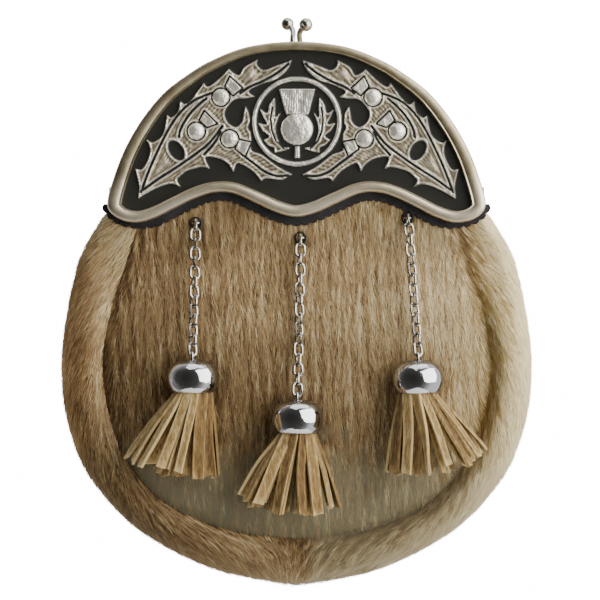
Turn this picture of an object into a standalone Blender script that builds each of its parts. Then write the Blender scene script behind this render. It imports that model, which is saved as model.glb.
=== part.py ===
"""Full-dress sporran: cast cantle on a purse frame, fur pouch, three chain tassels.

Metres, +Z up, the wearer's front view looks along +Y.  The origin is on the rear
face of the back panel, midway between the two belt loops.  The tables and sizes
below are millimetres and become metres in the mesh makers.
"""
import math

import bmesh
import bpy
from mathutils import Matrix, Vector

MM = 0.001
GAP = 0.3                    # clearance between pieces that touch

# Depths, along Y, from the rear face of the back panel
LEATHER_WALL = 2.0           # back panel and belt loops
HIDE_WALL = 2.5              # fur hide of the front panel and gusset
FRAME_SPLIT_Y = -16.0        # where the two halves of the purse frame meet
PANEL_TOP_Y = -30.4          # front face of the front panel behind the cantle
SEAM_Y = -36.5               # the same face where it is sewn to the gusset
PANEL_CROWN = 7.0            # how far the stuffed front stands proud of its seam
SWELL_TOP_Z = -39.0          # the panel leaves the cantle's plane here
SWELL_LENGTH = 42.0          # and is at its full depth this much lower
CROWN_LOW_Z = -95.0          # below this the crown falls away to the bottom seam
MAT_WALL = 1.2               # pinked leather between front panel and cantle
MAT_BACK_Y = PANEL_TOP_Y - GAP
PLATE_BACK_Y = MAT_BACK_Y - MAT_WALL - GAP
PLATE_WALL = 1.8
PLATE_FRONT_Y = PLATE_BACK_Y - PLATE_WALL
RIM_HEIGHT = 3.0             # rim above the sunk enamel ground
RELIEF_HEIGHT = 1.3

# Cantle outline, right half, from the top centre round to the low centre.
# rim is the width of the raised border there.
CANTLE_ARCH = (  # x, z, rim
    (0.0, 45.8, 3.7), (20.2, 43.7, 3.8), (35.9, 37.8, 4.2), (46.4, 31.5, 4.6),
    (56.2, 23.8, 5.0), (65.3, 12.6, 5.4), (72.5, 0.0, 5.7), (77.3, -12.6, 6.0),
    (79.6, -21.5, 6.1))
CANTLE_HEM = (   # x, z, rim
    (78.4, -26.0, 5.8), (73.5, -29.4, 5.2), (66.4, -30.4, 4.9), (58.8, -28.2, 4.8),
    (50.4, -24.0, 4.7), (42.0, -20.0, 4.7), (34.5, -17.8, 4.6), (26.6, -18.2, 4.7),
    (16.8, -22.4, 4.9), (8.4, -26.2, 5.0), (0.0, -28.1, 5.0))
FLANGE_INSET = 1.2
FLANGE_WALL = 1.5
LIP_WIDTH = 4.0
LIP_WALL = 1.3

# Pouch seen from the front, right half, top to bottom: where the front panel
# is sewn to the gusset, and the pouch's outermost edge on the same spoke.
POUCH = (  # seam_x, seam_z, outer_x, outer_z
    (66.0, -29.6, 79.3, -24.2), (71.0, -46.5, 90.4, -43.8), (77.0, -65.2, 95.8, -65.0),
    (80.8, -87.5, 98.7, -89.5), (79.2, -107.0, 96.4, -113.5), (71.8, -128.2, 87.2, -136.9),
    (56.5, -146.6, 66.5, -159.6), (31.0, -158.4, 34.6, -176.3), (0.0, -162.3, 0.0, -183.0))
# Section of the puffed gusset from the front seam, round the outside, to the
# back seam: share of the way out from the seam, and share of the depth.
GUSSET_SECTION = (  # out, depth
    (0.0, 1.0), (0.30, 1.11), (0.70, 1.02), (0.98, 0.67), (0.98, 0.26), (0.80, 0.0),
    (0.60, 0.0))
BACK_SEAM_SHARE = 0.60
GUSSET_BACK_Y = -0.2

# Fittings
HINGE_Z = -17.5
EAR_RADIUS = 4.2
EAR_ARM = 12.0               # arm that carries the rear ears up into the band
EAR_CLEAR = 2.2              # between the ears, so that the slanting flange stays clear
FRONT_EAR_SHIFT = 0.2        # keeps the front ears off the rear half's band
RIVET_RADIUS = 1.3
BALL_HEIGHT_Z = 54.2
CLASP_STUDS = (  # side, base_x, base_y, ball_x, ball_y, ball_radius
    ("front", -1.6, -24.0, -3.8, -18.6, 2.7),
    ("back", 1.4, -8.0, 4.0, -13.6, 2.9))
LOOP_X = 30.0
LOOP_WIDTH = 20.0
LOOP_PROFILE = (             # y from its feet, z of the upper half
    (0.0, 27.0), (0.0, 18.0), (1.2, 16.0), (4.8, 12.6), (6.0, 10.0))
PINK_PITCH = 3.3             # scallops of the pinked leather
PINK_DEPTH = 1.1
MAT_SHOWS = 3.8              # leather below the cantle's rim, less at its corners

# Tassels: where each chain leaves the fur and where its cap hangs
TASSELS = (  # side, hole_x, hole_z, cap_x, cap_z, thong_length, fan_left, fan_right
    ("left", -42.4, -30.6, -43.2, -94.6, 36.0, 26.5, 9.5),
    ("middle", 1.7, -36.8, 0.4, -111.4, 34.2, 24.0, 15.8),
    ("right", 46.8, -28.4, 50.6, -94.8, 35.0, 13.0, 27.8))
WIRE = 1.2                   # chain wire diameter
LINK_WIDTH = 5.2
LINK_PITCH = 4.9
LINK_SPARE = 0.82            # length past pitch and wire: under a wire's width, so links fuse
LINK_SIDES = 10
LINK_WIRE_SIDES = 5
HOLE_RADIUS = 2.3
BAR_OUT = 3.2                # anchor bar in front of the hide
BAR_RADIUS = 0.5
CAP_RADIUS = 10.8
CAP_HALF_HEIGHT = 7.2
CAP_SIDES = 12
EYE_RADIUS = 1.9              # the cap's wire eye
EYE_WIRE = 0.5
EYE_SIDES = 6
SKIRT_STRIPS = 13
THONG_WALL = 1.3
THONG_ROOT = 7.0             # radius at which the thongs leave the cap's mouth
MOUTH_CLEAR = 0.8            # below the mouth, where they start to fan out


# ---------------------------------------------------------------- small helpers
def collection(name):
    made = bpy.data.collections.new(name)
    bpy.context.scene.collection.children.link(made)
    return made


def material(name, colour, metallic, roughness):
    made = bpy.data.materials.new(name)
    made.use_nodes = True
    shader = made.node_tree.nodes["Principled BSDF"]
    shader.inputs["Base Color"].default_value = (*colour, 1.0)
    shader.inputs["Metallic"].default_value = metallic
    shader.inputs["Roughness"].default_value = roughness
    return made


def smooth_rows(rows, steps, x_columns=(0,)):
    """A table's rows joined by a smooth curve, with steps points to each span.

    Where an end row lies on the centre line, the curve crosses it square, as if
    the row beside it were there on the far side too.
    """
    rows = [Vector(row) for row in rows]

    def beyond(end, beside):
        far = end * 2 - beside
        if end[0] == 0.0:
            far = beside.copy()
            for column in x_columns:
                far[column] *= -1
        return far

    padded = [beyond(rows[0], rows[1])] + rows + [beyond(rows[-1], rows[-2])]
    made = []
    for index in range(len(rows) - 1):
        a, b, c, d = padded[index:index + 4]
        for step in range(steps):
            t = step / steps
            made.append(0.5 * (2 * b + (c - a) * t + (2 * a - 5 * b + 4 * c - d) * t ** 2
                               + (3 * b - a - 3 * c + d) * t ** 3))
    made.append(rows[-1])
    return made


def mirrored(points):
    """A right half, listed from the centre line to the centre line, made whole."""
    left = [Vector((-point[0], *point[1:])) for point in reversed(points[1:-1])]
    return list(points) + left


def outline_normals(points):
    """Outward unit normals, in the front view, of an outline listed clockwise."""
    count = len(points)
    made = []
    for index in range(count):
        along = points[(index + 1) % count] - points[index - 1]
        made.append(Vector((-along[1], along[0])).normalized())
    return made


def inset_outline(points, inset):
    normals = outline_normals(points)
    return [Vector((point[0], point[1])) - normal * inset
            for point, normal in zip(points, normals)]


def smoothstep(value):
    value = min(1.0, max(0.0, value))
    return value * value * (3 - 2 * value)


def add_object(name, mesh, group, surface):
    made = bpy.data.objects.new(name, mesh)
    group.objects.link(made)
    if surface:
        mesh.materials.append(surface)
    if group is guides:
        made.hide_render = True
        made.display_type = 'WIRE'
    return made


def finish_bmesh(bm, name, group, surface, smooth=True):
    bmesh.ops.remove_doubles(bm, verts=bm.verts, dist=1e-6)
    bmesh.ops.recalc_face_normals(bm, faces=bm.faces)
    mesh = bpy.data.meshes.new(name)
    bm.to_mesh(mesh)
    bm.free()
    if smooth:
        mesh.shade_smooth()
        mesh.set_sharp_from_angle(angle=math.radians(40))
    return add_object(name, mesh, group, surface)


def loft(name, rings, group, surface, closed_ring=True, closed_path=False, caps=True):
    """Skin a list of rings of points, each with the same count."""
    bm = bmesh.new()
    made = [[bm.verts.new(Vector(point) * MM) for point in ring] for ring in rings]
    count = len(rings[0])
    spans = len(made) if closed_path else len(made) - 1
    for index in range(spans):
        here = made[index]
        there = made[(index + 1) % len(made)]
        for side in range(count if closed_ring else count - 1):
            after = (side + 1) % count
            bm.faces.new((here[side], here[after], there[after], there[side]))
    if caps and closed_ring and not closed_path:
        bm.faces.new(made[0])
        bm.faces.new(list(reversed(made[-1])))
    return finish_bmesh(bm, name, group, surface)


def close_openings(piece):
    """Fill each open edge loop of a lofted skin with one face."""
    bm = bmesh.new()
    bm.from_mesh(piece.data)
    bmesh.ops.holes_fill(bm, edges=[edge for edge in bm.edges if edge.is_boundary], sides=0)
    bmesh.ops.recalc_face_normals(bm, faces=bm.faces)
    bm.to_mesh(piece.data)
    bm.free()


def flat_piece(name, outlines, y_back, y_front, group, surface):
    """Flat outlines in the front view, the first the edge and the rest holes."""
    curve = bpy.data.curves.new(name, 'CURVE')
    curve.dimensions = '2D'
    curve.fill_mode = 'BOTH'
    curve.extrude = abs(y_back - y_front) / 2 * MM
    for outline in outlines:
        spline = curve.splines.new('POLY')
        spline.points.add(len(outline) - 1)
        for point, place in zip(spline.points, outline):
            point.co = (place[0] * MM, place[1] * MM, 0.0, 1.0)
        spline.use_cyclic_u = True
    holder = bpy.data.objects.new(name + "_curve", curve)
    guides.objects.link(holder)
    turn = Matrix.Rotation(math.pi / 2, 4, 'X')
    middle = Matrix.Translation((0.0, (y_back + y_front) / 2 * MM, 0.0))
    return mesh_from(holder, name, group, surface, middle @ turn)


def mesh_from(holder, name, group, surface, place=Matrix.Identity(4)):
    """A curve object made a closed mesh, and the curve removed."""
    bpy.context.view_layer.update()
    evaluated = holder.evaluated_get(bpy.context.evaluated_depsgraph_get())
    mesh = bpy.data.meshes.new_from_object(evaluated)
    mesh.transform(place)
    bpy.data.objects.remove(holder)
    bm = bmesh.new()
    bm.from_mesh(mesh)
    bpy.data.meshes.remove(mesh)
    return finish_bmesh(bm, name, group, surface)


def tube(name, points, radius, group, surface, cyclic=False, fineness=1):
    curve = bpy.data.curves.new(name, 'CURVE')
    curve.dimensions = '3D'
    curve.bevel_depth = radius * MM
    curve.bevel_resolution = fineness
    curve.use_fill_caps = True
    spline = curve.splines.new('POLY')
    spline.points.add(len(points) - 1)
    for point, place in zip(spline.points, points):
        point.co = (*(Vector(place) * MM), 1.0)
    spline.use_cyclic_u = cyclic
    holder = bpy.data.objects.new(name + "_curve", curve)
    guides.objects.link(holder)
    return mesh_from(holder, name, group, surface)


def cylinder(name, radius, length, centre, axis, group, surface, sides=16, top_radius=None):
    bm = bmesh.new()
    turn = Vector((0, 0, 1)).rotation_difference(Vector(axis)).to_matrix().to_4x4()
    bmesh.ops.create_cone(bm, cap_ends=True, segments=sides, radius1=radius * MM,
                          radius2=(radius if top_radius is None else top_radius) * MM,
                          depth=length * MM,
                          matrix=Matrix.Translation(Vector(centre) * MM) @ turn)
    return finish_bmesh(bm, name, group, surface)


def ball(name, radius, centre, group, surface, sides=12, squash_y=1.0):
    bm = bmesh.new()
    shape = Matrix.Translation(Vector(centre) * MM) @ Matrix.Diagonal((1, squash_y, 1, 1))
    bmesh.ops.create_uvsphere(bm, u_segments=sides, v_segments=sides // 2,
                              radius=radius * MM, matrix=shape)
    return finish_bmesh(bm, name, group, surface)


def join_all(base, others):
    """Fuse the other pieces into the base."""
    group = collection(base.name + "_joins")
    bpy.context.scene.collection.children.unlink(group)
    guides.children.link(group)
    for other in others:
        guides.objects.unlink(other)
        group.objects.link(other)
    union = base.modifiers.new("fuse", 'BOOLEAN')
    union.operation = 'UNION'
    union.solver = 'EXACT'
    union.operand_type = 'COLLECTION'
    union.collection = group
    return base


def cut(base, cutter):
    hole = base.modifiers.new("cut_" + cutter.name, 'BOOLEAN')
    hole.operation = 'DIFFERENCE'
    hole.solver = 'EXACT'
    hole.object = cutter


# ------------------------------------------------------------- shared outlines
def arch_rows(steps):
    return smooth_rows(CANTLE_ARCH, steps)


def cantle_outline(steps=2):
    """Closed cantle outline as rows of x, z and rim width, clockwise from the top."""
    hem = [Vector(row) for row in CANTLE_HEM]
    if steps > 2:
        hem = smooth_rows(CANTLE_HEM, steps)
    return mirrored(arch_rows(steps) + hem)


def arch_path(inset, steps=2):
    """Open path of the purse frame's arch, left ear to right ear."""
    half = arch_rows(steps)
    reach = len(half)
    inside = inset_outline(cantle_outline(steps), inset)
    right = inside[:reach]
    left = [Vector((-point[0], point[1])) for point in reversed(right[1:])]
    return left + right


def pouch_spokes(steps=2):
    """Seam and outer points of every spoke, right top, bottom, left top."""
    half = [(Vector((seam_x, seam_z)), Vector((outer_x, outer_z)))
            for seam_x, seam_z, outer_x, outer_z in smooth_rows(POUCH, steps, (0, 2))]
    left = [tuple(Vector((-point.x, point.y)) for point in spoke)
            for spoke in reversed(half[:-1])]
    return half + left


def seam_half_width(z):
    """Half the front panel's width at one height."""
    for upper, lower in zip(POUCH, POUCH[1:]):
        if upper[1] >= z >= lower[1]:
            share = (upper[1] - z) / (upper[1] - lower[1])
            return upper[0] + (lower[0] - upper[0]) * share
    return POUCH[0][0] if z > POUCH[0][1] else 0.0


def panel_face_y(x, z):
    """Depth of the front panel's face: flat under the cantle, crowned below it."""
    swell = smoothstep((SWELL_TOP_Z - z) / SWELL_LENGTH)
    width = max(1.0, seam_half_width(z))
    across = 1.0 - min(1.0, abs(x) / width) ** 4
    low = POUCH[-1][1]
    down = 1.0 - min(1.0, max(0.0, (CROWN_LOW_Z - z) / (CROWN_LOW_Z - low))) ** 4
    return PANEL_TOP_Y + (SEAM_Y - PANEL_TOP_Y) * swell - PANEL_CROWN * swell * across * down


def panel_half(lower):
    """Right half of a panel's outline, top centre down: arch, then the lower edge."""
    arch = arch_path(FLANGE_INSET + FLANGE_WALL + 2 * GAP, 1)
    return arch[len(arch) // 2:] + lower


# ------------------------------------------------------------------ the pouch
PANEL_COLUMNS = (-1.0, -0.82, -0.42, 0.42, 0.82, 1.0)   # share of the half width


def crowned_sheet(name, half_outline, depth_at, wall, surface):
    """A panel lofted through level rows, then given its wall."""
    rings = []
    for point in half_outline:
        rings.append([(point.x * share, depth_at(point.x * share, point.y), point.y)
                       for share in PANEL_COLUMNS])
    made = loft(name, rings, pouch, surface, closed_ring=False, caps=False)
    if made.data.polygons[len(rings)].normal.y > 0:
        made.data.flip_normals()
    solid = made.modifiers.new("wall", 'SOLIDIFY')
    solid.thickness = wall * MM
    solid.offset = -1.0
    return made


def make_front_panel(fur):
    spokes = pouch_spokes()
    seam = [point - (outer - point).normalized() * GAP
            for point, outer in spokes[:len(spokes) // 2 + 1]]
    panel = crowned_sheet("front_panel", panel_half(seam), panel_face_y, HIDE_WALL, fur)
    for side, hole_x, hole_z, *_ in TASSELS:
        place = (hole_x, panel_face_y(hole_x, hole_z), hole_z)
        cut(panel, cylinder("chain_hole_" + side, HOLE_RADIUS, 12.0, place, (0, 1, 0), guides,
                            None, 8))
    return panel


def make_gusset(fur):
    """The puffed band sewn round the pouch from the front seam to the back seam."""
    rings = []
    for seam, outer in pouch_spokes():
        front = panel_face_y(seam.x, seam.y)
        swell = (PANEL_TOP_Y - front) / (PANEL_TOP_Y - SEAM_Y)
        start = seam + (outer - seam).normalized() * GAP
        ring = []
        for out, depth in GUSSET_SECTION:
            if depth > 1.0:
                depth = 1.0 + (depth - 1.0) * swell
            place = start + (outer - start) * out
            ring.append((place.x, GUSSET_BACK_Y + (front - GUSSET_BACK_Y) * depth, place.y))
        rings.append(ring)
    made = loft("gusset", rings, pouch, fur, closed_ring=False, caps=False)
    widest = max(made.data.polygons, key=lambda face: face.center.x)
    if widest.normal.x < 0:
        made.data.flip_normals()
    solid = made.modifiers.new("wall", 'SOLIDIFY')
    solid.thickness = HIDE_WALL * MM
    solid.offset = -1.0
    return made


def make_back_panel(leather):
    lower = []
    spokes = pouch_spokes()
    for seam, outer in spokes[:len(spokes) // 2 + 1]:
        way = (outer - seam).normalized()
        lower.append(seam + (outer - seam) * BACK_SEAM_SHARE - way * 2 * GAP)
    return flat_piece("back_panel", [mirrored(panel_half(lower))], 0.0, -LEATHER_WALL, pouch,
                      leather)


def make_belt_loop(side, centre_x, leather):
    """A leather strap standing off the back panel between its two sewn feet."""
    foot_y = GAP + LEATHER_WALL
    upper = [(foot_y + y, z) for y, z in LOOP_PROFILE]
    lower = [(y, -z) for y, z in reversed(upper)]
    rings = [[(centre_x - LOOP_WIDTH / 2, y, z), (centre_x + LOOP_WIDTH / 2, y, z)]
             for y, z in upper + lower]
    made = loft("belt_loop_" + side, rings, pouch, leather, closed_ring=False, caps=False)
    if made.data.polygons[0].normal.y < 0:
        made.data.flip_normals()
    solid = made.modifiers.new("wall", 'SOLIDIFY')
    solid.thickness = LEATHER_WALL * MM
    solid.offset = -1.0
    solid.use_even_offset = True
    return made


# ---------------------------------------------------------------- purse frame
RELIEF_SPRAY = (  # x, z of the left spray, turned to the right side
    (67.0, -19.7), (68.2, -8.0), (65.1, -8.8), (63.4, 4.8), (60.5, 2.3), (55.3, 14.7),
    (53.5, 12.2), (49.2, 20.5), (46.8, 18.7), (39.4, 28.1), (38.0, 25.4), (28.6, 34.0),
    (25.4, 31.7), (16.8, 38.0), (16.6, 34.9), (14.1, 34.2), (1.9, 38.0), (4.4, 33.8),
    (9.7, 29.4), (14.5, 26.9), (17.2, 22.7), (27.1, 19.7), (29.4, 15.3), (27.9, 12.4),
    (25.0, 11.8), (22.7, 13.9), (21.8, 18.3), (19.9, 15.5), (19.3, 3.8), (20.4, 0.0),
    (13.7, -2.9), (1.9, -10.3), (5.2, -12.0), (10.7, -11.3), (15.1, -13.0),
    (20.8, -8.2), (26.9, -9.2), (32.5, -4.0), (37.8, -1.9), (36.5, -7.8), (42.6, -6.5),
    (48.9, -10.3), (48.7, -16.0), (54.0, -15.3), (59.4, -16.8), (64.9, -21.0))
SPRAY_GAP = (50.8, -0.4, 3.4, 4.6, -0.6)          # oval gap: x, z, half width, half height, turn
SPRAY_THISTLES = (  # ball_x, ball_z, crown_x, crown_z
    (31.7, 22.3, 26.7, 27.5), (42.5, 8.2, 37.2, 13.4), (28.5, 4.6, 22.1, 1.3))
EMBLEM_Z = 12.1
EMBLEM_RING = 18.0
RING_SIDES = 20
EMBLEM_LEAF = (  # x, z of the left leaf, turned to the right side
    (9.5, 22.1), (12.8, 18.9), (15.2, 17.2), (14.5, 14.3), (16.1, 11.5), (14.9, 8.4),
    (14.1, 4.4), (12.0, 1.7), (6.9, -1.1), (4.0, 0.2), (7.8, 4.2), (9.7, 8.4), (6.9, 16.0),
    (9.4, 13.9))
EMBLEM_CROWN = ((-7.6, 25.7), (7.6, 25.7), (4.6, 15.0), (-4.2, 15.0))


def relief_piece(name, outlines, height=RELIEF_HEIGHT):
    return flat_piece(name, outlines, PLATE_FRONT_Y + 0.6, PLATE_FRONT_Y - height, guides, None)


def make_relief():
    """Cast ornament on the cantle: ringed thistle between two leaf sprays."""
    made = []
    face = PLATE_FRONT_Y
    gap_x, gap_z, gap_a, gap_b, gap_turn = SPRAY_GAP
    for sign in (-1, 1):
        oval = []
        for index in range(10):
            angle = 2 * math.pi * index / 10
            u = gap_a * math.cos(angle)
            v = gap_b * math.sin(angle)
            oval.append((sign * (gap_x + u * math.cos(gap_turn) - v * math.sin(gap_turn)),
                         gap_z + u * math.sin(gap_turn) + v * math.cos(gap_turn)))
        spray = [(sign * x, z) for x, z in RELIEF_SPRAY]
        made.append(relief_piece("spray_%d" % sign, [spray, oval]))
        leaf = [(sign * x, z) for x, z in EMBLEM_LEAF]
        made.append(relief_piece("leaf_%d" % sign, [leaf]))
        for index, (ball_x, ball_z, crown_x, crown_z) in enumerate(SPRAY_THISTLES):
            centre = (sign * ball_x, face - 0.7, ball_z)
            made.append(cylinder("bud_%d_%d" % (sign, index), 3.5, 3.2, centre, (0, -1, 0), guides,
                                 None, 8, 1.9))
            centre = (sign * crown_x, face - 0.6, crown_z)
            axis = (sign * (crown_x - ball_x), 0, crown_z - ball_z)
            made.append(cylinder("tuft_%d_%d" % (sign, index), 1.7, 4.6, centre, axis,
                                 guides, None, 5, 2.6))
    made.append(relief_piece("crown", [EMBLEM_CROWN], 1.6))
    made.append(relief_piece("stem", [((-0.7, 2.2), (0.7, 2.2), (0.9, -3.2), (-0.9, -3.2))]))
    made.append(ball("head", 6.7, (0.2, face - 0.4, 8.9), guides, None, 10, 0.45))
    circle = [(EMBLEM_RING * math.cos(angle), face - 0.4, EMBLEM_Z + EMBLEM_RING * math.sin(angle))
              for angle in (2 * math.pi * index / RING_SIDES for index in range(RING_SIDES))]
    made.append(tube("ring", circle, 1.05, guides, None, cyclic=True, fineness=0))
    return made


def frame_ear(name, side_x, wall, group, surface):
    return cylinder(name, EAR_RADIUS, wall, (side_x, FRAME_SPLIT_Y, HINGE_Z), (1, 0, 0), group,
                    surface, 12)


def arch_band(name, section, group, surface):
    """Metal bent to the arch: section rows are inset from the edge, and depth."""
    lines = [[(point[0], y, point[1]) for point in arch_path(inset)] for inset, y in section]
    return loft(name, list(zip(*lines)), group, surface)


def make_cantle(silver):
    """One casting: plate, raised rim, ornament, side flange and hinge ears."""
    whole = cantle_outline()
    arch_points = len(arch_rows(2))
    flange_inner = FLANGE_INSET + FLANGE_WALL
    rings = []
    for index, (row, way) in enumerate(zip(whole, outline_normals(whole))):
        on_arch = min(index, len(whole) - index) < arch_points
        rear_y = FRAME_SPLIT_Y - GAP / 2 if on_arch else PLATE_BACK_Y
        section = (  # inset from the edge, depth
            (flange_inner, PLATE_BACK_Y), (flange_inner, rear_y), (FLANGE_INSET, rear_y),
            (FLANGE_INSET, PLATE_BACK_Y), (0.0, PLATE_BACK_Y), (0.0, PLATE_BACK_Y - 2.6),
            (row[2] * 0.32, PLATE_FRONT_Y - RIM_HEIGHT),
            (row[2] * 0.72, PLATE_FRONT_Y - RIM_HEIGHT * 0.9), (row[2], PLATE_FRONT_Y))
        edge = Vector((row[0], row[1]))
        places = [(edge - way * inset, y) for inset, y in section]
        rings.append([(place.x, y, place.y) for place, y in places])
    cantle = loft("cantle", rings, metalwork, silver, closed_ring=False, closed_path=True)
    close_openings(cantle)
    ear_x = ear_places()[0] + FRONT_EAR_SHIFT
    ears = [frame_ear("front_ear_%d" % sign, sign * ear_x, FLANGE_WALL, guides, None)
            for sign in (-1, 1)]
    join_all(cantle, ears + make_relief())
    for sign in (-1, 1):
        hole = cylinder("cantle_rivet_hole_%d" % sign, RIVET_RADIUS + GAP, 12.0,
                        (sign * ear_x, FRAME_SPLIT_Y, HINGE_Z), (1, 0, 0), guides, None, 8)
        cut(cantle, hole)
    cut_stud_hole(cantle, CLASP_STUDS[0])
    return cantle


def ear_places():
    """Centre planes, along X, of the outer and the inner ear of each hinge."""
    outer = arch_path(FLANGE_INSET)[-1][0] - FLANGE_WALL / 2
    return outer, outer - FLANGE_WALL - EAR_CLEAR


def make_back_frame(silver):
    """Rear half of the purse frame: a band with a lip behind the leather."""
    front_y = FRAME_SPLIT_Y + GAP / 2
    rear_y = GAP + LIP_WALL
    inner = FLANGE_INSET + FLANGE_WALL
    lip = inner + LIP_WIDTH
    section = ((FLANGE_INSET, front_y), (inner, front_y), (inner, GAP), (lip, GAP),
               (lip, rear_y), (FLANGE_INSET, rear_y))
    band = arch_band("back_frame", section, metalwork, silver)
    outer_x = ear_places()[0]
    for sign in (-1, 1):
        cut(band, cylinder("ear_notch_%d" % sign, EAR_RADIUS + GAP, 6.0,
                           (sign * (outer_x + 2.0), FRAME_SPLIT_Y, HINGE_Z), (1, 0, 0), guides,
                           None, 12))
    inner_x = ear_places()[1]
    ears = []
    for sign in (-1, 1):
        ears.append(frame_ear("back_ear_%d" % sign, sign * inner_x, FLANGE_WALL, guides, None))
        near, far = (sign * (inner_x + side * FLANGE_WALL / 2) for side in (-1, 1))
        arm_front, arm_back = FRAME_SPLIT_Y + GAP, FRAME_SPLIT_Y + EAR_RADIUS
        corners = ((near, arm_front), (far, arm_front), (far, arm_back), (near, arm_back))
        rings = [[(x, y, z) for x, y in corners] for z in (HINGE_Z, HINGE_Z + EAR_ARM)]
        ears.append(loft("ear_arm_%d" % sign, rings, guides, None))
    join_all(band, ears)
    for sign in (-1, 1):
        hole = cylinder("frame_rivet_hole_%d" % sign, RIVET_RADIUS + GAP, 12.0,
                        (sign * inner_x, FRAME_SPLIT_Y, HINGE_Z), (1, 0, 0), guides, None, 8)
        cut(band, hole)
    cut_stud_hole(band, CLASP_STUDS[1])
    return band


def make_hinge_rivet(side, sign, silver):
    outer, inner = ear_places()
    middle = sign * (outer + inner) / 2
    length = outer - inner + FLANGE_WALL + 2 * GAP + 1.0
    rivet = cylinder("hinge_rivet_" + side, RIVET_RADIUS, length,
                     (middle, FRAME_SPLIT_Y, HINGE_Z), (1, 0, 0), metalwork, silver, 8)
    heads = []
    for index, place in enumerate((outer + FLANGE_WALL / 2 + GAP + 0.5,
                                   inner - FLANGE_WALL / 2 - GAP - 0.5)):
        heads.append(cylinder("rivet_head_%s_%d" % (side, index), 2.5, 1.0,
                              (sign * place, FRAME_SPLIT_Y, HINGE_Z), (1, 0, 0), guides, None, 8))
    join_all(rivet, heads)
    return rivet


def stud_base_z(base_x):
    """Height of the frame's outer face over one place near the arch's top."""
    path = arch_path(FLANGE_INSET)
    for left, right in zip(path, path[1:]):
        if left[0] <= base_x <= right[0]:
            return left[1] + (right[1] - left[1]) * (base_x - left[0]) / (right[0] - left[0])
    return path[len(path) // 2][1]


def cut_stud_hole(frame, stud):
    side, base_x, base_y = stud[:3]
    place = (base_x, base_y, stud_base_z(base_x) - 1.0)
    cut(frame, cylinder("stud_hole_" + side, 1.0 + GAP, 8.0, place, (0, 0, 1), guides, None, 8))


def make_clasp_stud(stud, silver):
    """A riveted post that leans over the frame's split to its ball."""
    side, base_x, base_y, ball_x, ball_y, radius = stud
    base_z = stud_base_z(base_x)
    top = BALL_HEIGHT_Z
    route = smooth_rows([(base_x, base_y, base_z + 0.8), (base_x, base_y, base_z + 3.2),
                         (base_x, (base_y + ball_y) / 2, top - 2.6), (ball_x, ball_y, top)], 1)
    head = ball("clasp_ball_" + side, radius, (ball_x, ball_y, top), metalwork, silver, 10)
    post = tube("post_" + side, route, 1.0, guides, None)
    collar = cylinder("collar_" + side, 2.0, 1.2, (base_x, base_y, base_z + GAP + 0.6), (0, 0, 1),
                      guides, None, 8, 1.2)
    shank = cylinder("shank_" + side, 0.9, 4.4, (base_x, base_y, base_z - 0.9), (0, 0, 1), guides,
                     None, 6)
    peen = cylinder("peen_" + side, 1.8, 0.8, (base_x, base_y, base_z - FLANGE_WALL - GAP - 0.7),
                    (0, 0, 1), guides, None, 8)
    join_all(head, [post, collar, shank, peen])
    return head


def hem_line():
    """Points and outward normals along the cantle's hem, right end to left end."""
    steps = 4
    whole = cantle_outline(steps)
    first = (len(CANTLE_ARCH) - 1) * steps + 1
    last = len(whole) - first
    normals = outline_normals(whole)
    return [(Vector((whole[index][0], whole[index][1])), normals[index])
            for index in range(first, last + 1)]


def make_cantle_mat(leather):
    """Pinked leather that shows as small scallops below the cantle's rim."""
    line = hem_line()
    edge = []
    travelled = 0.0
    due = 0.0
    for (here, way), (there, next_way) in zip(line, line[1:]):
        span = (there - here).length
        while due <= travelled + span:
            share = (due - travelled) / span
            place = here.lerp(there, share)
            shows = MAT_SHOWS - 1.4 * smoothstep((abs(place.x) - 58.0) / 12.0)
            notch = PINK_DEPTH if len(edge) % 2 else 0.0
            edge.append(place + way.lerp(next_way, share) * (shows - notch))
            due += PINK_PITCH / 2
        travelled += span
    upper = [here - way * 8.0 for here, way in line[2:-2:5]]
    return flat_piece("cantle_mat", [edge + list(reversed(upper))], MAT_BACK_Y,
                      MAT_BACK_Y - MAT_WALL, pouch, leather)


# -------------------------------------------------------------------- tassels
def bar_place(hole_x, hole_z):
    """Centre of the anchor's front bar, on which the chain hangs."""
    return Vector((hole_x, panel_face_y(hole_x, hole_z) - BAR_OUT, hole_z))


def make_anchor(side, hole_x, hole_z, silver):
    """A wire staple through the hide, held by a washer behind it."""
    face = panel_face_y(hole_x, hole_z)
    front = bar_place(hole_x, hole_z).y
    rear = face + HIDE_WALL + 2.2
    half = 1.35
    loop = [(hole_x - half, rear, hole_z), (hole_x - half, front + 0.7, hole_z),
            (hole_x - half * 0.6, front, hole_z), (hole_x + half * 0.6, front, hole_z),
            (hole_x + half, front + 0.7, hole_z), (hole_x + half, rear, hole_z)]
    washer = cylinder("chain_anchor_" + side, 4.0, 1.0, (hole_x, rear - 0.3, hole_z), (0, 1, 0),
                      metalwork, silver, 8)
    staple = tube("staple_" + side, loop, BAR_RADIUS, guides, None, fineness=0)
    join_all(washer, [staple])
    return washer


def cap_centre(cap_x, cap_z):
    """A cap lies against the front panel's crown."""
    return Vector((cap_x, panel_face_y(cap_x, cap_z) - GAP - 0.4 - CAP_RADIUS, cap_z))


def eye_centre(centre):
    return centre + Vector((0.0, 0.0, CAP_HALF_HEIGHT + EYE_RADIUS - 0.9))


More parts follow.
